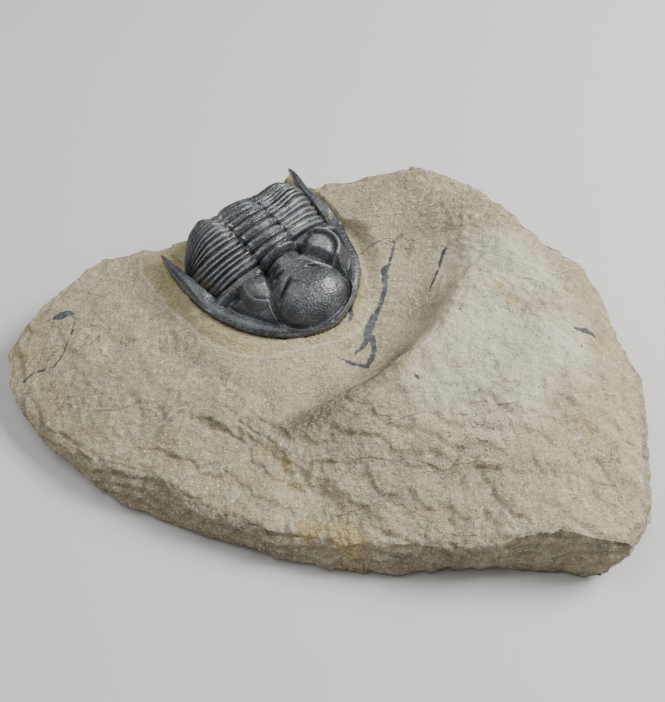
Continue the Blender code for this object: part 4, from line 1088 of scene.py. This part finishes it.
def slab_surface():
    """The slab's points, faces and the number of points on its top face."""
    cells_x, cells_y = SLAB_CELLS
    u = np.linspace(-1, 1, cells_x + 1)[:, None] + np.zeros((1, cells_y + 1))
    v = np.linspace(1, -1, cells_y + 1)[None, :] + np.zeros((cells_x + 1, 1))
    rim = [(i, 0) for i in range(cells_x)] + [(cells_x, j) for j in range(cells_y)]
    rim += [(i, cells_y) for i in range(cells_x, 0, -1)] + [(0, j) for j in range(cells_y, 0, -1)]
    perimeter = len(rim)
    shoulder = around(SHOULDER, perimeter)
    start = int(np.argmin(np.linalg.norm(shoulder[:, :2] - BACK_LEFT_CORNER, axis=1)))
    shoulder = np.roll(shoulder, -start, axis=0)
    foot = np.roll(around(FOOT, perimeter), -start, axis=0)
    square = np.maximum(np.abs(u), np.abs(v))
    turn = -np.arctan2(v, u)
    rim_turn = np.unwrap([turn[c] for c in rim] + [turn[rim[0]] + 2 * math.pi])
    turn = np.where(turn < rim_turn[0], turn + 2 * math.pi, turn)
    closed = np.concatenate([shoulder, shoulder[:1]])
    x, y = (
        SLAB_CENTRE[i] + square * (np.interp(turn, rim_turn, closed[:, i]) - SLAB_CENTRE[i])
        for i in range(2)
    )
    top = np.stack([x, y, top_height(x, y)], axis=-1)
    upper = np.array([top[c] for c in rim])
    outward = foot[:, :2] - np.array(SLAB_CENTRE)
    outward = outward / np.linalg.norm(outward, axis=1)[:, None]
    rings = []
    for row in range(1, SLAB_SIDE_ROWS + 1):
        t = row / SLAB_SIDE_ROWS
        level = upper * (1 - t) + foot * t
        level[:, :2] += outward * (SIDE_BULGE * math.sin(math.pi * t))
        rings.append(level)
    base = foot.copy()
    base[:, :2] -= outward * (BASE_INSET[0] + BASE_INSET[1] * foot[:, 2:])
    base[:, 2] = 0
    rings.append((foot + base) / 2)
    rings.append(base)
    points = np.concatenate([top.reshape(-1, 3)] + rings)
    faces = grid_faces(cells_x + 1, cells_y + 1)[:, ::-1].tolist()
    ring = [i * (cells_y + 1) + j for i, j in rim]
    count = top.shape[0] * top.shape[1]
    for number in range(len(rings)):
        below = list(range(count + number * perimeter, count + (number + 1) * perimeter))
        for k in range(perimeter):
            n = (k + 1) % perimeter
            faces.append((ring[k], below[k], below[n], ring[n]))
        ring = below
    faces.append(tuple(ring))
    return points, faces, count


def pocketed(points):
    """Points that would lie in the animal's room are pushed back onto its bed."""
    own = own_place(points)
    inside = -from_head(own)
    floor = UNDERSIDE - CLEARANCE
    under_head = (inside > CLEARANCE) & (own[:, 2] > floor)
    in_head = under_head & (own[:, 1] > -0.5)
    on_spine = under_head & (own[:, 1] <= -0.5)
    inner = inner_margin()
    spine_edge = np.interp(-own[:, 1], -inner[80:, 1], inner[80:, 0])
    on_spine &= np.abs(unpressed(own[:, 0], own[:, 1])) > spine_edge + 0.1
    own[:, 2] = np.where(in_head | on_spine, floor, own[:, 2])
    v, s, height = place_on_body(own[:, 0], own[:, 1], own[:, 2])
    p = np.clip(s, 0, BODY_LENGTH)
    half_width = np.where(s < THORAX_LENGTH, THORAX_HALF_WIDTH - 0.9, body_half_width(p))
    covered = smoothstep(8.0, 12.5, v) * smoothstep(BEND_STARTS, BEND_STARTS + 8, s)
    opening = np.where(v < AXIS_HALF_WIDTH, AXIS_HEIGHT, PLEURA_HEIGHT) + 15.0 * (1 - covered)
    room = (np.abs(v) < half_width) & (s > -1.5) & (s < BODY_LENGTH - 0.3)
    room &= (height > floor) & (height < opening)
    height = np.where(room, floor, height)
    x, y, z = body_point(v, s, height)
    own = np.where(room[:, None], np.stack([x, y, z], axis=1), own)
    return moved(specimen_matrix(), own[:, 0], own[:, 1], own[:, 2])


def terraced(field, share=0.78):
    """Turns a smooth field into gentle rises with a sudden step at each whole number."""
    level = np.floor(field)
    part = field - level
    return level + smoothstep(share, 1.0, part) - field


def scallops(points, size, warp):
    """Shell-shaped hollows with sharp ridges between them, as where chips were struck off."""
    places = (points + warp) / size

    def deep(p):
        return noise.voronoi(p, distance_metric="DISTANCE")[0][0] ** 2

    return values_at(places, deep) - 0.25


def strokes(points, along_x, along_y, length, width, shift):
    """Long narrow marks that run one way across the top."""
    u = points[:, 0] * along_x + points[:, 1] * along_y
    v = -points[:, 0] * along_y + points[:, 1] * along_x
    marks = np.stack([u / length, v / width, points[:, 2] / length + shift], axis=1)
    return values_at(marks, lambda p: noise.fractal(p, 1.0, 2.0, 2))


def slab_relief(points):
    """How far the fine relief lifts each point: lumps, chips, layers and tool marks."""
    x, y, z = points.T
    smoothed = smoothstep(2.5, -2.5, distance_outside(SMOOTHED, points)) * smoothstep(6, 12, z)
    struck = smoothstep(-12, -28, y) * (1 - 0.5 * smoothstep(-30, -50, x))
    wild = 1 - smoothed
    warp = np.stack([cloudy(points, 9.0, 3, shift=k) for k in (1.0, 5.0, 8.0)], axis=1) * 2.2
    # Broad lumps, struck chips, and flakes and slivers in steps
    lumps = 0.75 * cloudy(points, 15.0, 4) * (0.2 + 0.8 * wild)
    chips = 0.75 * scallops(points, 11.0, warp) * (0.25 + 0.75 * struck) * wild
    small_chips = 0.22 * scallops(points, 4.6, warp * 0.7) * (0.35 + 0.65 * struck) * wild
    layers = (0.48 * x + 0.87 * y) / 7.0 + 1.2 * cloudy(points, 17.0, 4, shift=21.0)
    flakes = 0.6 * terraced(layers, 0.82) * (0.25 + 0.75 * struck) * wild
    slivers = (0.7 * x - 0.7 * y) / 3.5 + 1.3 * cloudy(points, 7.0, 4, shift=27.0)
    flakes = flakes + 0.22 * terraced(slivers, 0.8) * wild
    # Bedding on the sides, then the tool marks on the wall and the bulge
    on_side = smoothstep(0.4, 0.0, top_share(points))
    bedding = 0.8 * terraced(z / 2.6 + 1.2 * cloudy(points, 20.0, 3, shift=33.0)) * on_side
    side, travelled, _ = side_of(HOLLOW_WALL, x, y)
    scribed = np.stack([side / 0.9, travelled / 9.0, 0 * side], axis=1)
    wall_marks = 0.13 * values_at(scribed, lambda p: noise.fractal(p, 1.0, 2.0, 2))
    wall_marks = wall_marks * smoothstep(13, 3, np.abs(side)) * smoothstep(6, 12, z)
    bulge = smoothstep(2, 8, side) * smoothstep(-38, -20, y)
    tool = 0.14 * strokes(points, 0.79, -0.61, 5.0, 0.75, 2.0) * bulge
    grain = cloudy(points, 1.7, 4, 0.6, 3.0) * (0.08 + 0.17 * wild)
    return lumps + chips + small_chips + flakes + bedding + wall_marks + tool + grain


def top_share(points):
    """1 on the top face and 0 on the sides, judged by how far inside the edge a place is."""
    x, y = points[:, 0] - SLAB_CENTRE[0], points[:, 1] - SLAB_CENTRE[1]
    ring = np.array(SHOULDER + SHOULDER[:1], dtype=float)[:, :2] - np.array(SLAB_CENTRE)
    turn = np.unwrap(-np.arctan2(ring[:, 1], ring[:, 0]))
    place = -np.arctan2(y, x)
    place = np.where(place < turn[0], place + 2 * math.pi, place)
    edge = np.interp(place, turn, np.hypot(ring[:, 0], ring[:, 1]))
    return smoothstep(0.99, 0.93, np.hypot(x, y) / edge)


def line_field(lines, points):
    """Distance from the edge of the nearest of these lines, over the slab's top."""
    nearest = np.full(len(points), 30.0)
    for line in lines:
        marks = np.array(line)
        near = distance_to(marks[:, :2], points[:, 0], points[:, 1], marks[:, 2])
        nearest = np.minimum(nearest, near)
    return nearest


def spot_field(spots, points):
    """1 in the middle of these spots, fading to 0 at their edges."""
    field = np.zeros(len(points))
    for x, y, radius in spots:
        away = np.hypot(points[:, 0] - x, points[:, 1] - y)
        field = np.maximum(field, smoothstep(radius * 1.4, radius * 0.3, away))
    return field


def colour_setting(name, description, default):
    return bpy.props.FloatVectorProperty(
        name=name, description=description, default=default, subtype="COLOR", min=0, max=1
    )


def share_setting(name, description, default):
    return bpy.props.FloatProperty(
        name=name, description=description, default=default, subtype="FACTOR", min=0, max=1
    )


def power_setting(name, description, default):
    return bpy.props.FloatProperty(
        name=name, description=description, default=default, subtype="POWER", min=0
    )


def size_setting(name, description, millimetres):
    """A length, kept in metres as Blender's units want it."""
    return bpy.props.FloatProperty(
        name=name, description=description, default=millimetres * MM, unit="LENGTH", min=0,
        precision=5,
    )


class FossilShellLook(bpy.types.PropertyGroup):
    """Finish of the fossil's shell."""

    dark: colour_setting("Dark shell", "Colour of most of the shell", (0.019, 0.0215, 0.025))
    light: colour_setting("Light shell", "Colour of its paler clouds", (0.06, 0.065, 0.07))
    rust: colour_setting(
        "Weathered tips", "Colour where the shell has weathered brown", (0.075, 0.063, 0.043)
    )
    # The worn colour is partly wear and partly painted highlight on the ridges, lids and grains
    worn: colour_setting(
        "Worn crests", "Colour of the ridges and grains that have worn pale", (0.26, 0.27, 0.277)
    )
    ochre: colour_setting("Ochre flecks", "Paler flecks among the weathered brown", (0.26, 0.215, 0.145))
    dust_colour: colour_setting("Dust colour", "Colour of the stone dust in its pits", (0.2, 0.2, 0.185))
    paling: share_setting("Wear", "How much of the crests has worn pale", 0.8)
    roughness: share_setting("Roughness", "How dull the shell is", 0.26)
    dust: share_setting("Dust", "How much pale dust lies on it", 0.5)
    grain_height: size_setting("Grain height", "How far the head's grains stand up", 0.12)
    lens_radius: size_setting("Lens radius", "Half the width of one lens of the eyes", 0.2)


class LimestoneLook(bpy.types.PropertyGroup):
    """Colours and relief of the slab."""

    base: colour_setting("Stone", "Colour of most of the stone", (0.45, 0.392, 0.252))
    shade: colour_setting("Grey clouds", "Colour of its greyer clouds", (0.3, 0.262, 0.168))
    warm: colour_setting("Warm clouds", "Colour of its sandy clouds", (0.4, 0.342, 0.212))
    pale: colour_setting("Pale grains", "Colour of its lightest grains", (0.68, 0.62, 0.465))
    # Painted shade: the colour laid along the foot of the hollow's wall and in the hollow
    grey: colour_setting(
        "Greyer stone", "Colour of the stone along the foot of the hollow's wall", (0.15, 0.134, 0.1)
    )
    dark: colour_setting("Dark grains", "Colour of its darkest grains", (0.165, 0.138, 0.093))
    tan: colour_setting("Tan rim", "Colour of the weathered rim", (0.315, 0.265, 0.145))
    rust: colour_setting("Rust stains", "Colour of the iron stains", (0.385, 0.28, 0.105))
    halo: colour_setting(
        "Ring round the fossil", "Colour of the stone next to the shell", (0.34, 0.282, 0.135)
    )
    halo_pale: colour_setting("Paler ring", "Colour of the ring's lighter clouds", (0.44, 0.378, 0.215))
    brown: colour_setting("Brown patches", "Colour of the brown patches", (0.25, 0.203, 0.122))
    # The broken faces' colours hold both their weathered darkness and painted shade
    face: colour_setting(
        "Broken faces", "Colour of the weathered faces round the edge", (0.26, 0.222, 0.15)
    )
    face_dark: colour_setting(
        "Dark broken faces", "Colour of the darkest parts of those faces", (0.14, 0.12, 0.085)
    )
    grain: share_setting("Grain", "How strongly pale and dark grains show", 0.58)
    relief: share_setting("Relief", "How much of its fine relief the slab has", 1.0)
    fleck: colour_setting("White specks", "Colour of the tiny white specks", (0.86, 0.83, 0.7))
    thread: colour_setting("Pale threads", "Colour of the thin calcite threads", (0.62, 0.56, 0.44))
    vein: colour_setting("Dark veins", "Colour of the calcite veins", (0.035, 0.045, 0.055))
    vein_light: colour_setting("Paler vein", "Colour of the veins' lighter crystals", (0.11, 0.13, 0.14))


class StudioLook(bpy.types.PropertyGroup):
    """The floor, the lights and the camera."""

    floor: colour_setting("Floor", "Colour of the floor", (0.62, 0.61, 0.59))
    key: power_setting("Key light", "Power of the main light", 8.4)
    back: power_setting("Back light", "Power of the soft light overhead", 6.0)
    fill: power_setting("Fill light", "Power of the soft light in front", 1.6)
    camera_distance: size_setting("Camera distance", "How far off the camera stands", CAMERA_DISTANCE)
    camera_lens: bpy.props.FloatProperty(
        name="Camera lens", description="Focal length of the camera", default=CAMERA_LENS,
        unit="CAMERA", min=1,
    )


class FOSSIL_OT_head(bpy.types.Operator):
    """Models the head shield with its eyes and cheek spines"""

    bl_idname = "fossil.head"
    bl_label = "Head shield"

    def execute(self, context):
        columns, rows = HEAD_CELLS
        x, y, across, reach = head_grid(columns, rows)
        lift = spine_lift(x, y)
        height = head_height(x, y, across, reach)
        grain = head_grain(x, y, height, context.scene.shell_look.grain_height / MM)
        height = height + grain
        place = specimen_matrix()
        x = pressed(x, y)
        top = moved(place, x, y, height + lift)
        ends = moved(place, x[:, [0, -1]], y[:, [0, -1]], UNDERSIDE + lift[:, [0, -1]])
        obj = closed_sheet("head_shield", top, ends, columns, rows)
        finish_shell(context, obj, head_weathered(x, y), head_wear_and_highlight(x, y, grain))
        return {"FINISHED"}


class FOSSIL_OT_lenses(bpy.types.Operator):
    """Sets the lenses in the two eyes"""

    bl_idname = "fossil.lenses"
    bl_label = "Eye lenses"

    def execute(self, context):
        radius = context.scene.shell_look.lens_radius / MM
        inner, outer = LENS_BAND
        arc_start, arc = LENS_ARC
        points, faces = [], []
        for side, (centre_x, centre_y, size) in ((-1, LEFT_EYE), (1, RIGHT_EYE)):
            for row in range(LENS_ROWS):
                reach = size * (inner + (outer - inner) * (row + 0.5) / LENS_ROWS)
                count = int(math.radians(arc) * reach / (radius * LENS_SPACING))
                for k in range(count):
                    share = (k + 0.5 * (row % 2)) / count
                    turn = math.radians(arc_start + arc * share - EYE_TURN)
                    x = side * (centre_x + reach * math.cos(turn))
                    add_lens(points, faces, x, centre_y + reach * math.sin(turn) / EYE_NARROWNESS, radius)
        obj = mesh_object("eye_lenses", moved(specimen_matrix(), *np.array(points).T), faces)
        # The lenses are laid pale all over, as painted highlights
        finish_shell(context, obj, np.zeros(len(points)), np.full(len(points), 0.8))
        return {"FINISHED"}


def head_at(x, y):
    """Height of the head at one place, away from its spines."""
    place = np.array([[x]]), np.array([[y]])
    return float(head_height(*place, np.array([[0.5]]), np.array([[0.2]]))[0, 0])


def add_lens(points, faces, x, y, radius):
    """A small closed dome on the eye, standing square to its surface."""
    step, sunk = 0.06, 0.1
    rise = head_at(x, y)
    slope_x = (head_at(x + step, y) - head_at(x - step, y)) / (2 * step)
    slope_y = (head_at(x, y + step) - head_at(x, y - step)) / (2 * step)
    up = Vector((-slope_x, -slope_y, 1)).normalized()
    turn = Vector((0, 0, 1)).rotation_difference(up)
    centre = Vector((x, y, rise)) - up * sunk
    start = len(points)
    sides = LENS_SIDES
    for level, out in LENS_RINGS:
        for k in range(sides):
            angle = 2 * math.pi * k / sides
            local = Vector((out * math.cos(angle), out * math.sin(angle), level)) * radius
            points.append(centre + turn @ local)
    points.append(centre + turn @ Vector((0, 0, radius)))
    for k in range(sides):
        n = (k + 1) % sides
        for ring in (start, start + sides):
            faces.append((ring + k, ring + n, ring + n + sides, ring + k + sides))
        top_ring = start + 2 * sides
        faces.append((top_ring + k, top_ring + n, top_ring + sides))
    faces.append(tuple(range(start + sides - 1, start - 1, -1)))


class FOSSIL_OT_body(bpy.types.Operator):
    """Models the thorax and the tail shield"""

    bl_idname = "fossil.body"
    bl_label = "Thorax and tail"

    def execute(self, context):
        columns, segment_rows, tail_rows = BODY_CELLS
        thorax = np.arange(-segment_rows // 2, SEGMENTS * segment_rows) * SEGMENT_PITCH / segment_rows
        tail = np.linspace(THORAX_LENGTH, BODY_LENGTH, tail_rows)
        row_places = np.concatenate([thorax, tail])
        across = np.linspace(-1, 1, columns)[:, None]
        p = row_places[None, :] + 0 * across
        half_width = body_half_width(p)
        v = across * half_width
        axis = axis_half_width(p)
        out = (np.abs(v) - axis) / np.maximum(half_width - axis, 0.1)
        s = swept(p, out, np.abs(v))
        height = body_height(p, v, half_width) + flank_raised(v, s) + body_grain(p, v)
        v = v + flank_wider(v, s)
        place = specimen_matrix()
        top = moved(place, *body_point(v, s, height))
        edges = v[[0, -1]].T, swept(p, 1.0, half_width)[[0, -1]].T
        under = moved(place, *body_point(*edges, UNDERSIDE))
        obj = closed_sheet("thorax_and_tail", top, under, columns, len(row_places), across=True)
        tips = smoothstep(0.62, 0.92, np.clip(out, 0, 1)) * smoothstep(-1, 3, s)
        tips = tips * np.where(v > 0, smoothstep(16, 9, s), smoothstep(11, 6, s))
        dusty = 0.62 * bell(np.abs(v) - axis - 0.1, 0.8) * (v > 0)
        crest = body_wear_and_highlight(p, v, np.clip(out, 0, 1))
        finish_shell(context, obj, np.maximum(0.68 * tips, dusty), crest)
        return {"FINISHED"}


class FOSSIL_OT_slab(bpy.types.Operator):
    """Models the slab of limestone with the fossil's bed in it"""

    bl_idname = "fossil.slab"
    bl_label = "Limestone slab"

    def execute(self, context):
        look = context.scene.limestone_look
        points, faces, on_top = slab_surface()
        slab = mesh_object("limestone_slab", points, faces)
        face_outwards(slab)
        normals = np.zeros(len(points) * 3)
        slab.data.vertex_normals.foreach_get("vector", normals)
        flat = points + normals.reshape(-1, 3) * (look.relief * slab_relief(points))[:, None]
        flat[:, 2] = np.maximum(flat[:, 2], 0)
        points = pocketed(flat)
        points[:, 2] = np.maximum(points[:, 2], 0)
        slab.data.vertices.foreach_set("co", ((points - MIDDLE) * MM).ravel())
        slab.data.update()
        off_sides = np.where(np.arange(len(points)) < on_top, 0.0, 5.0)
        off_wall, along_wall, _ = side_of(HOLLOW_WALL, flat[:, 0], flat[:, 1])
        # Painted shade along the foot of the hollow's wall
        painted_wall_shade = painted_wall_foot_shade(flat, off_wall, along_wall)
        fields = {
            "halo": distance_outside(HALO, flat) + 8 * smoothstep(0.9, 0.3, top_share(flat)),
            "off_wall": off_wall,
            "along_wall": along_wall,
            "face": broken_face_and_shade(flat),
            "brown": spot_field(BROWN_PATCHES, flat),
            "vein": line_field(VEINS, flat) + off_sides,
            "thread": line_field(THREADS, flat) + off_sides,
            "rust": spot_field(STAINS, flat),
            # Painted light over the bulge, as a colour mask
            "bleached": spot_field(PAINTED_LIGHT_SPOTS, flat),
            # Painted shade in and below the hollow and along its wall's foot, as a colour mask
            "greyed": np.maximum(0.5 * spot_field(PAINTED_SHADE_SPOTS, flat), 1.1 * painted_wall_shade),
            "tan": spot_field(TAN_RIM, flat),
        }
        for name, values in fields.items():
            store(slab, name, values)
        slab.data.materials.append(limestone_material(look))
        finish_piece(slab, "matrix")
        return {"FINISHED"}


def painted_wall_foot_shade(points, off_wall, along_wall):
    """1 along the painted shade at the foot of the hollow's wall, which crosses the wall's line as it goes.
    """
    middle = np.clip(2.6 - 0.25 * (along_wall - 13), -3, 4)
    foot = bell(off_wall - middle, 3.2) * smoothstep(46, 28, along_wall)
    return foot * smoothstep(-16, -11, points[:, 0])


class FOSSIL_OT_studio(bpy.types.Operator):
    """Sets up the floor, the lights and the camera"""

    bl_idname = "fossil.studio"
    bl_label = "Floor, lights and camera"

    def execute(self, context):
        look = context.scene.studio_look
        bpy.ops.mesh.primitive_plane_add(size=FLOOR_SIZE, location=(0, 0, 0))
        floor = context.object
        floor.name = "floor"
        floor.data.materials.append(floor_material(look))
        for name, size, place in LIGHTS:
            add_light(f"{name} light", getattr(look, name), size, place)
        world = bpy.data.worlds.new("studio")
        world.use_nodes = True
        sky = world.node_tree.nodes["Background"].inputs
        sky["Color"].default_value = (*SKY_COLOUR, 1)
        sky["Strength"].default_value = SKY_STRENGTH
        context.scene.world = world
        back = Vector((0, -math.cos(CAMERA_ELEVATION), math.sin(CAMERA_ELEVATION)))
        camera = bpy.data.objects.new("camera", bpy.data.cameras.new("camera"))
        camera.data.lens = look.camera_lens
        camera.data.clip_start = 0.005
        camera.location = Vector(CAMERA_LOOKS_AT - MIDDLE) * MM + back * look.camera_distance
        camera.rotation_euler = (-back).to_track_quat("-Z", "Y").to_euler()
        context.scene.collection.objects.link(camera)
        context.scene.camera = camera
        return {"FINISHED"}


class FOSSIL_PT_panel(bpy.types.Panel):
    """Lists the pieces and their looks"""

    bl_idname = "FOSSIL_PT_panel"
    bl_label = "Trilobite"
    bl_space_type = "VIEW_3D"
    bl_region_type = "UI"
    bl_category = "Trilobite"

    def draw(self, context):
        for operator in ("fossil.slab", "fossil.head", "fossil.lenses", "fossil.body", "fossil.studio"):
            self.layout.operator(operator)
        for name in ("shell_look", "limestone_look", "studio_look"):
            look = getattr(context.scene, name)
            box = self.layout.box()
            for key in look.bl_rna.properties.keys():
                if key not in ("rna_type", "name"):
                    box.prop(look, key)


def head_grain(x, y, height, bead_height):
    """The granulation of the head: low beads all over, and full ones on the front lobe and lids."""
    points = np.stack([x, y, height], axis=-1)
    cell = values_at(points / 0.6, lambda p: noise.voronoi(p, distance_metric="DISTANCE")[0][0])
    bead = bead_height * bell(cell, 0.32)
    on_lobe = dome((x / 10.5) ** 2 + ((y - 11.0) / 10.5) ** 2, 0.4)
    on_lid = smoothstep(4.1, 3.4, eye_reach(x, y)[0])
    share = 0.3 + 0.7 * np.maximum(on_lobe, on_lid)
    patchy = 0.55 + 0.45 * smoothstep(-0.35, 0.35, cloudy(points, 2.4, 3, shift=6.0))
    wrinkles = 0.035 * cloudy(points, 0.8, 3, shift=12.0)
    return (bead * share * patchy + wrinkles) * smoothstep(-2, 1, y)


def head_weathered(x, y):
    """Where the head has chipped to brown: at the suture on its right cheek and by its back corner."""
    chip = bell(x - 15.2, 1.0) * bell(y + 0.4, 1.1) + 0.8 * bell(x + 17.5, 1.6) * bell(y + 1.5, 1.6)
    olive = 0.42 * bell(x / 8.5, 1.0) * bell(y - 17.5, 3.2) + 0.3 * bell(np.abs(x) - 14.5, 2.5) * (y > 2)
    return chip + olive + 0.35 * smoothstep(-12, -16, y) * (x < 0)


def head_wear_and_highlight(x, y, grain):
    """Where the head is made pale, partly as wear and partly as painted highlights: glints on the tips of
    its grains, the lids, the line under the right eye's slit, the ring of the left eye and the outer rim;
    the right eye's cap is kept dark.
    """
    a = np.abs(x)
    edge = outer_margin()
    from_edge = distance_to(edge[::3], a, y)
    # Painted highlights along the outer rim and the roll inside it
    rim = 0.55 * bell(from_edge - 0.25, 0.25) + 0.3 * bell(from_edge - 2.4, 0.35)
    reach, turn = eye_reach(x, y)
    on_cap = smoothstep(3.0, 2.0, np.hypot(x - EYE_CAP[0], y - EYE_CAP[1]))
    under_slit = bell(reach - 3.8, 0.2) * smoothstep(50, 25, np.abs(turn - EYE_SLIT[1]))
    lid = 0.5 * smoothstep(4.2, 2.6, reach) + 0.2 * under_slit
    lid = np.where(x > 0, lid * smoothstep(110, 80, np.abs(turn - 20)) - 0.9 * on_cap, 0)
    ring = 0.6 * bell(reach - 3.9, 0.35) * smoothstep(-85, -50, turn)
    lid = np.where(x < 0, 0.4 * smoothstep(3.2, 2.0, reach) + ring, lid)
    # The grains' tips are paled partly as wear and partly as painted glints
    stipple = 0.2 + 5.2 * grain * smoothstep(0, 2, y)
    return np.maximum(np.maximum(stipple - 0.5 * on_cap, rim), 0.3 + lid)


def body_grain(p, v):
    """Fine wrinkles and grains over the rings and ribs, coarsest on the rings' side lumps."""
    points = np.stack([1.4 * p, v, 0 * v], axis=-1)
    on_lumps = bell(np.abs(v) - 0.95 * axis_half_width(p), 1.1)
    lumps = (0.06 + 0.26 * on_lumps) * cloudy(points, 0.9, 3, shift=4.0)
    streaks = np.stack([4.0 * p, 0.7 * v, 0 * v], axis=-1)
    uneven = np.stack([p, 0.5 * v, 0 * v], axis=-1)
    return lumps + 0.09 * cloudy(streaks, 1.0, 3, shift=14.0) + 0.14 * cloudy(uneven, 2.2, 2, shift=17.0)


def body_wear_and_highlight(p, v, out):
    """Where the thorax is made pale, partly as wear and partly as painted highlights: along the tops of the
    ribs and rings.
    """
    a = np.abs(v)
    place, gap = place_in_segment(p)
    seam = seam_place(out)
    ribs = 0.95 * bell(place - 0.5 * seam, 0.07) + bell(place - 0.47 - 0.5 * seam, 0.09)
    # Painted light: the ribs' highlights fade towards the back, where the flanks turn away from the light
    ribs = ribs * (1 - 0.75 * smoothstep(9, 19, p)) * smoothstep(1.0, 0.75, out)
    ring = 0.75 * bell(place - 0.6, 0.25) + 0.35 * bell(place - 0.1, 0.06)
    ring = ring * (0.6 + 0.4 * bell(a - 0.8 * axis_half_width(p), 1.2))
    pit = bell(a - axis_half_width(p) - 0.2, 0.6)
    # Painted shade: less pale in the pits of the furrow along the axis
    return np.where(a < axis_half_width(p), ring, 0.12 + 1.0 * ribs) * (1 - 0.4 * pit)


def finish_shell(context, obj, weathered, crest):
    """Gives a piece of the shell its finish; the numbers are for its upper points."""
    hidden = np.zeros(len(obj.data.vertices) - np.size(crest))
    # The crest values carry both wear and painted highlights
    for name, values in (("weathered", weathered), ("crest", crest)):
        store(obj, name, np.concatenate([np.ravel(values), hidden]))
    look = context.scene.shell_look
    obj.data.materials.append(bpy.data.materials.get("fossil shell") or shell_material(look))
    finish_piece(obj, "trilobite")


def finish_piece(obj, node_name):
    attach(obj, BODY)
    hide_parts(node_name)


def floor_material(look):
    made, tree, shader = material("studio floor")
    cloud = noise_of(tree, object_place(tree), 6, 3)
    tint = tuple(FLOOR_TINT * c for c in look.floor)
    plug(tree, shader.inputs["Base Color"], mixed(tree, cloud, look.floor, tint))
    shader.inputs["Roughness"].default_value = 0.8
    shader.inputs["Specular IOR Level"].default_value = 0.2
    return made


def add_light(name, power, size, place):
    data = bpy.data.lights.new(name, "AREA")
    data.energy = power
    data.size = size
    obj = bpy.data.objects.new(name, data)
    obj.location = place
    obj.rotation_euler = (-Vector(place)).to_track_quat("-Z", "Y").to_euler()
    bpy.context.scene.collection.objects.link(obj)


CLASSES = (
    FossilShellLook, LimestoneLook, StudioLook, FOSSIL_OT_head, FOSSIL_OT_lenses, FOSSIL_OT_body,
    FOSSIL_OT_slab, FOSSIL_OT_studio, FOSSIL_PT_panel,
)


def register():
    for cls in CLASSES:
        bpy.utils.register_class(cls)
    bpy.types.Scene.shell_look = bpy.props.PointerProperty(type=FossilShellLook)
    bpy.types.Scene.limestone_look = bpy.props.PointerProperty(type=LimestoneLook)
    bpy.types.Scene.studio_look = bpy.props.PointerProperty(type=StudioLook)


def unregister():
    del bpy.types.Scene.studio_look
    del bpy.types.Scene.limestone_look
    del bpy.types.Scene.shell_look
    for cls in reversed(CLASSES):
        bpy.utils.unregister_class(cls)


def main():
    register()
    bpy.ops.fossil.studio()
    bpy.ops.fossil.slab()
    bpy.ops.fossil.head()
    bpy.ops.fossil.lenses()
    bpy.ops.fossil.body()


if __name__ == "__main__":
    main()
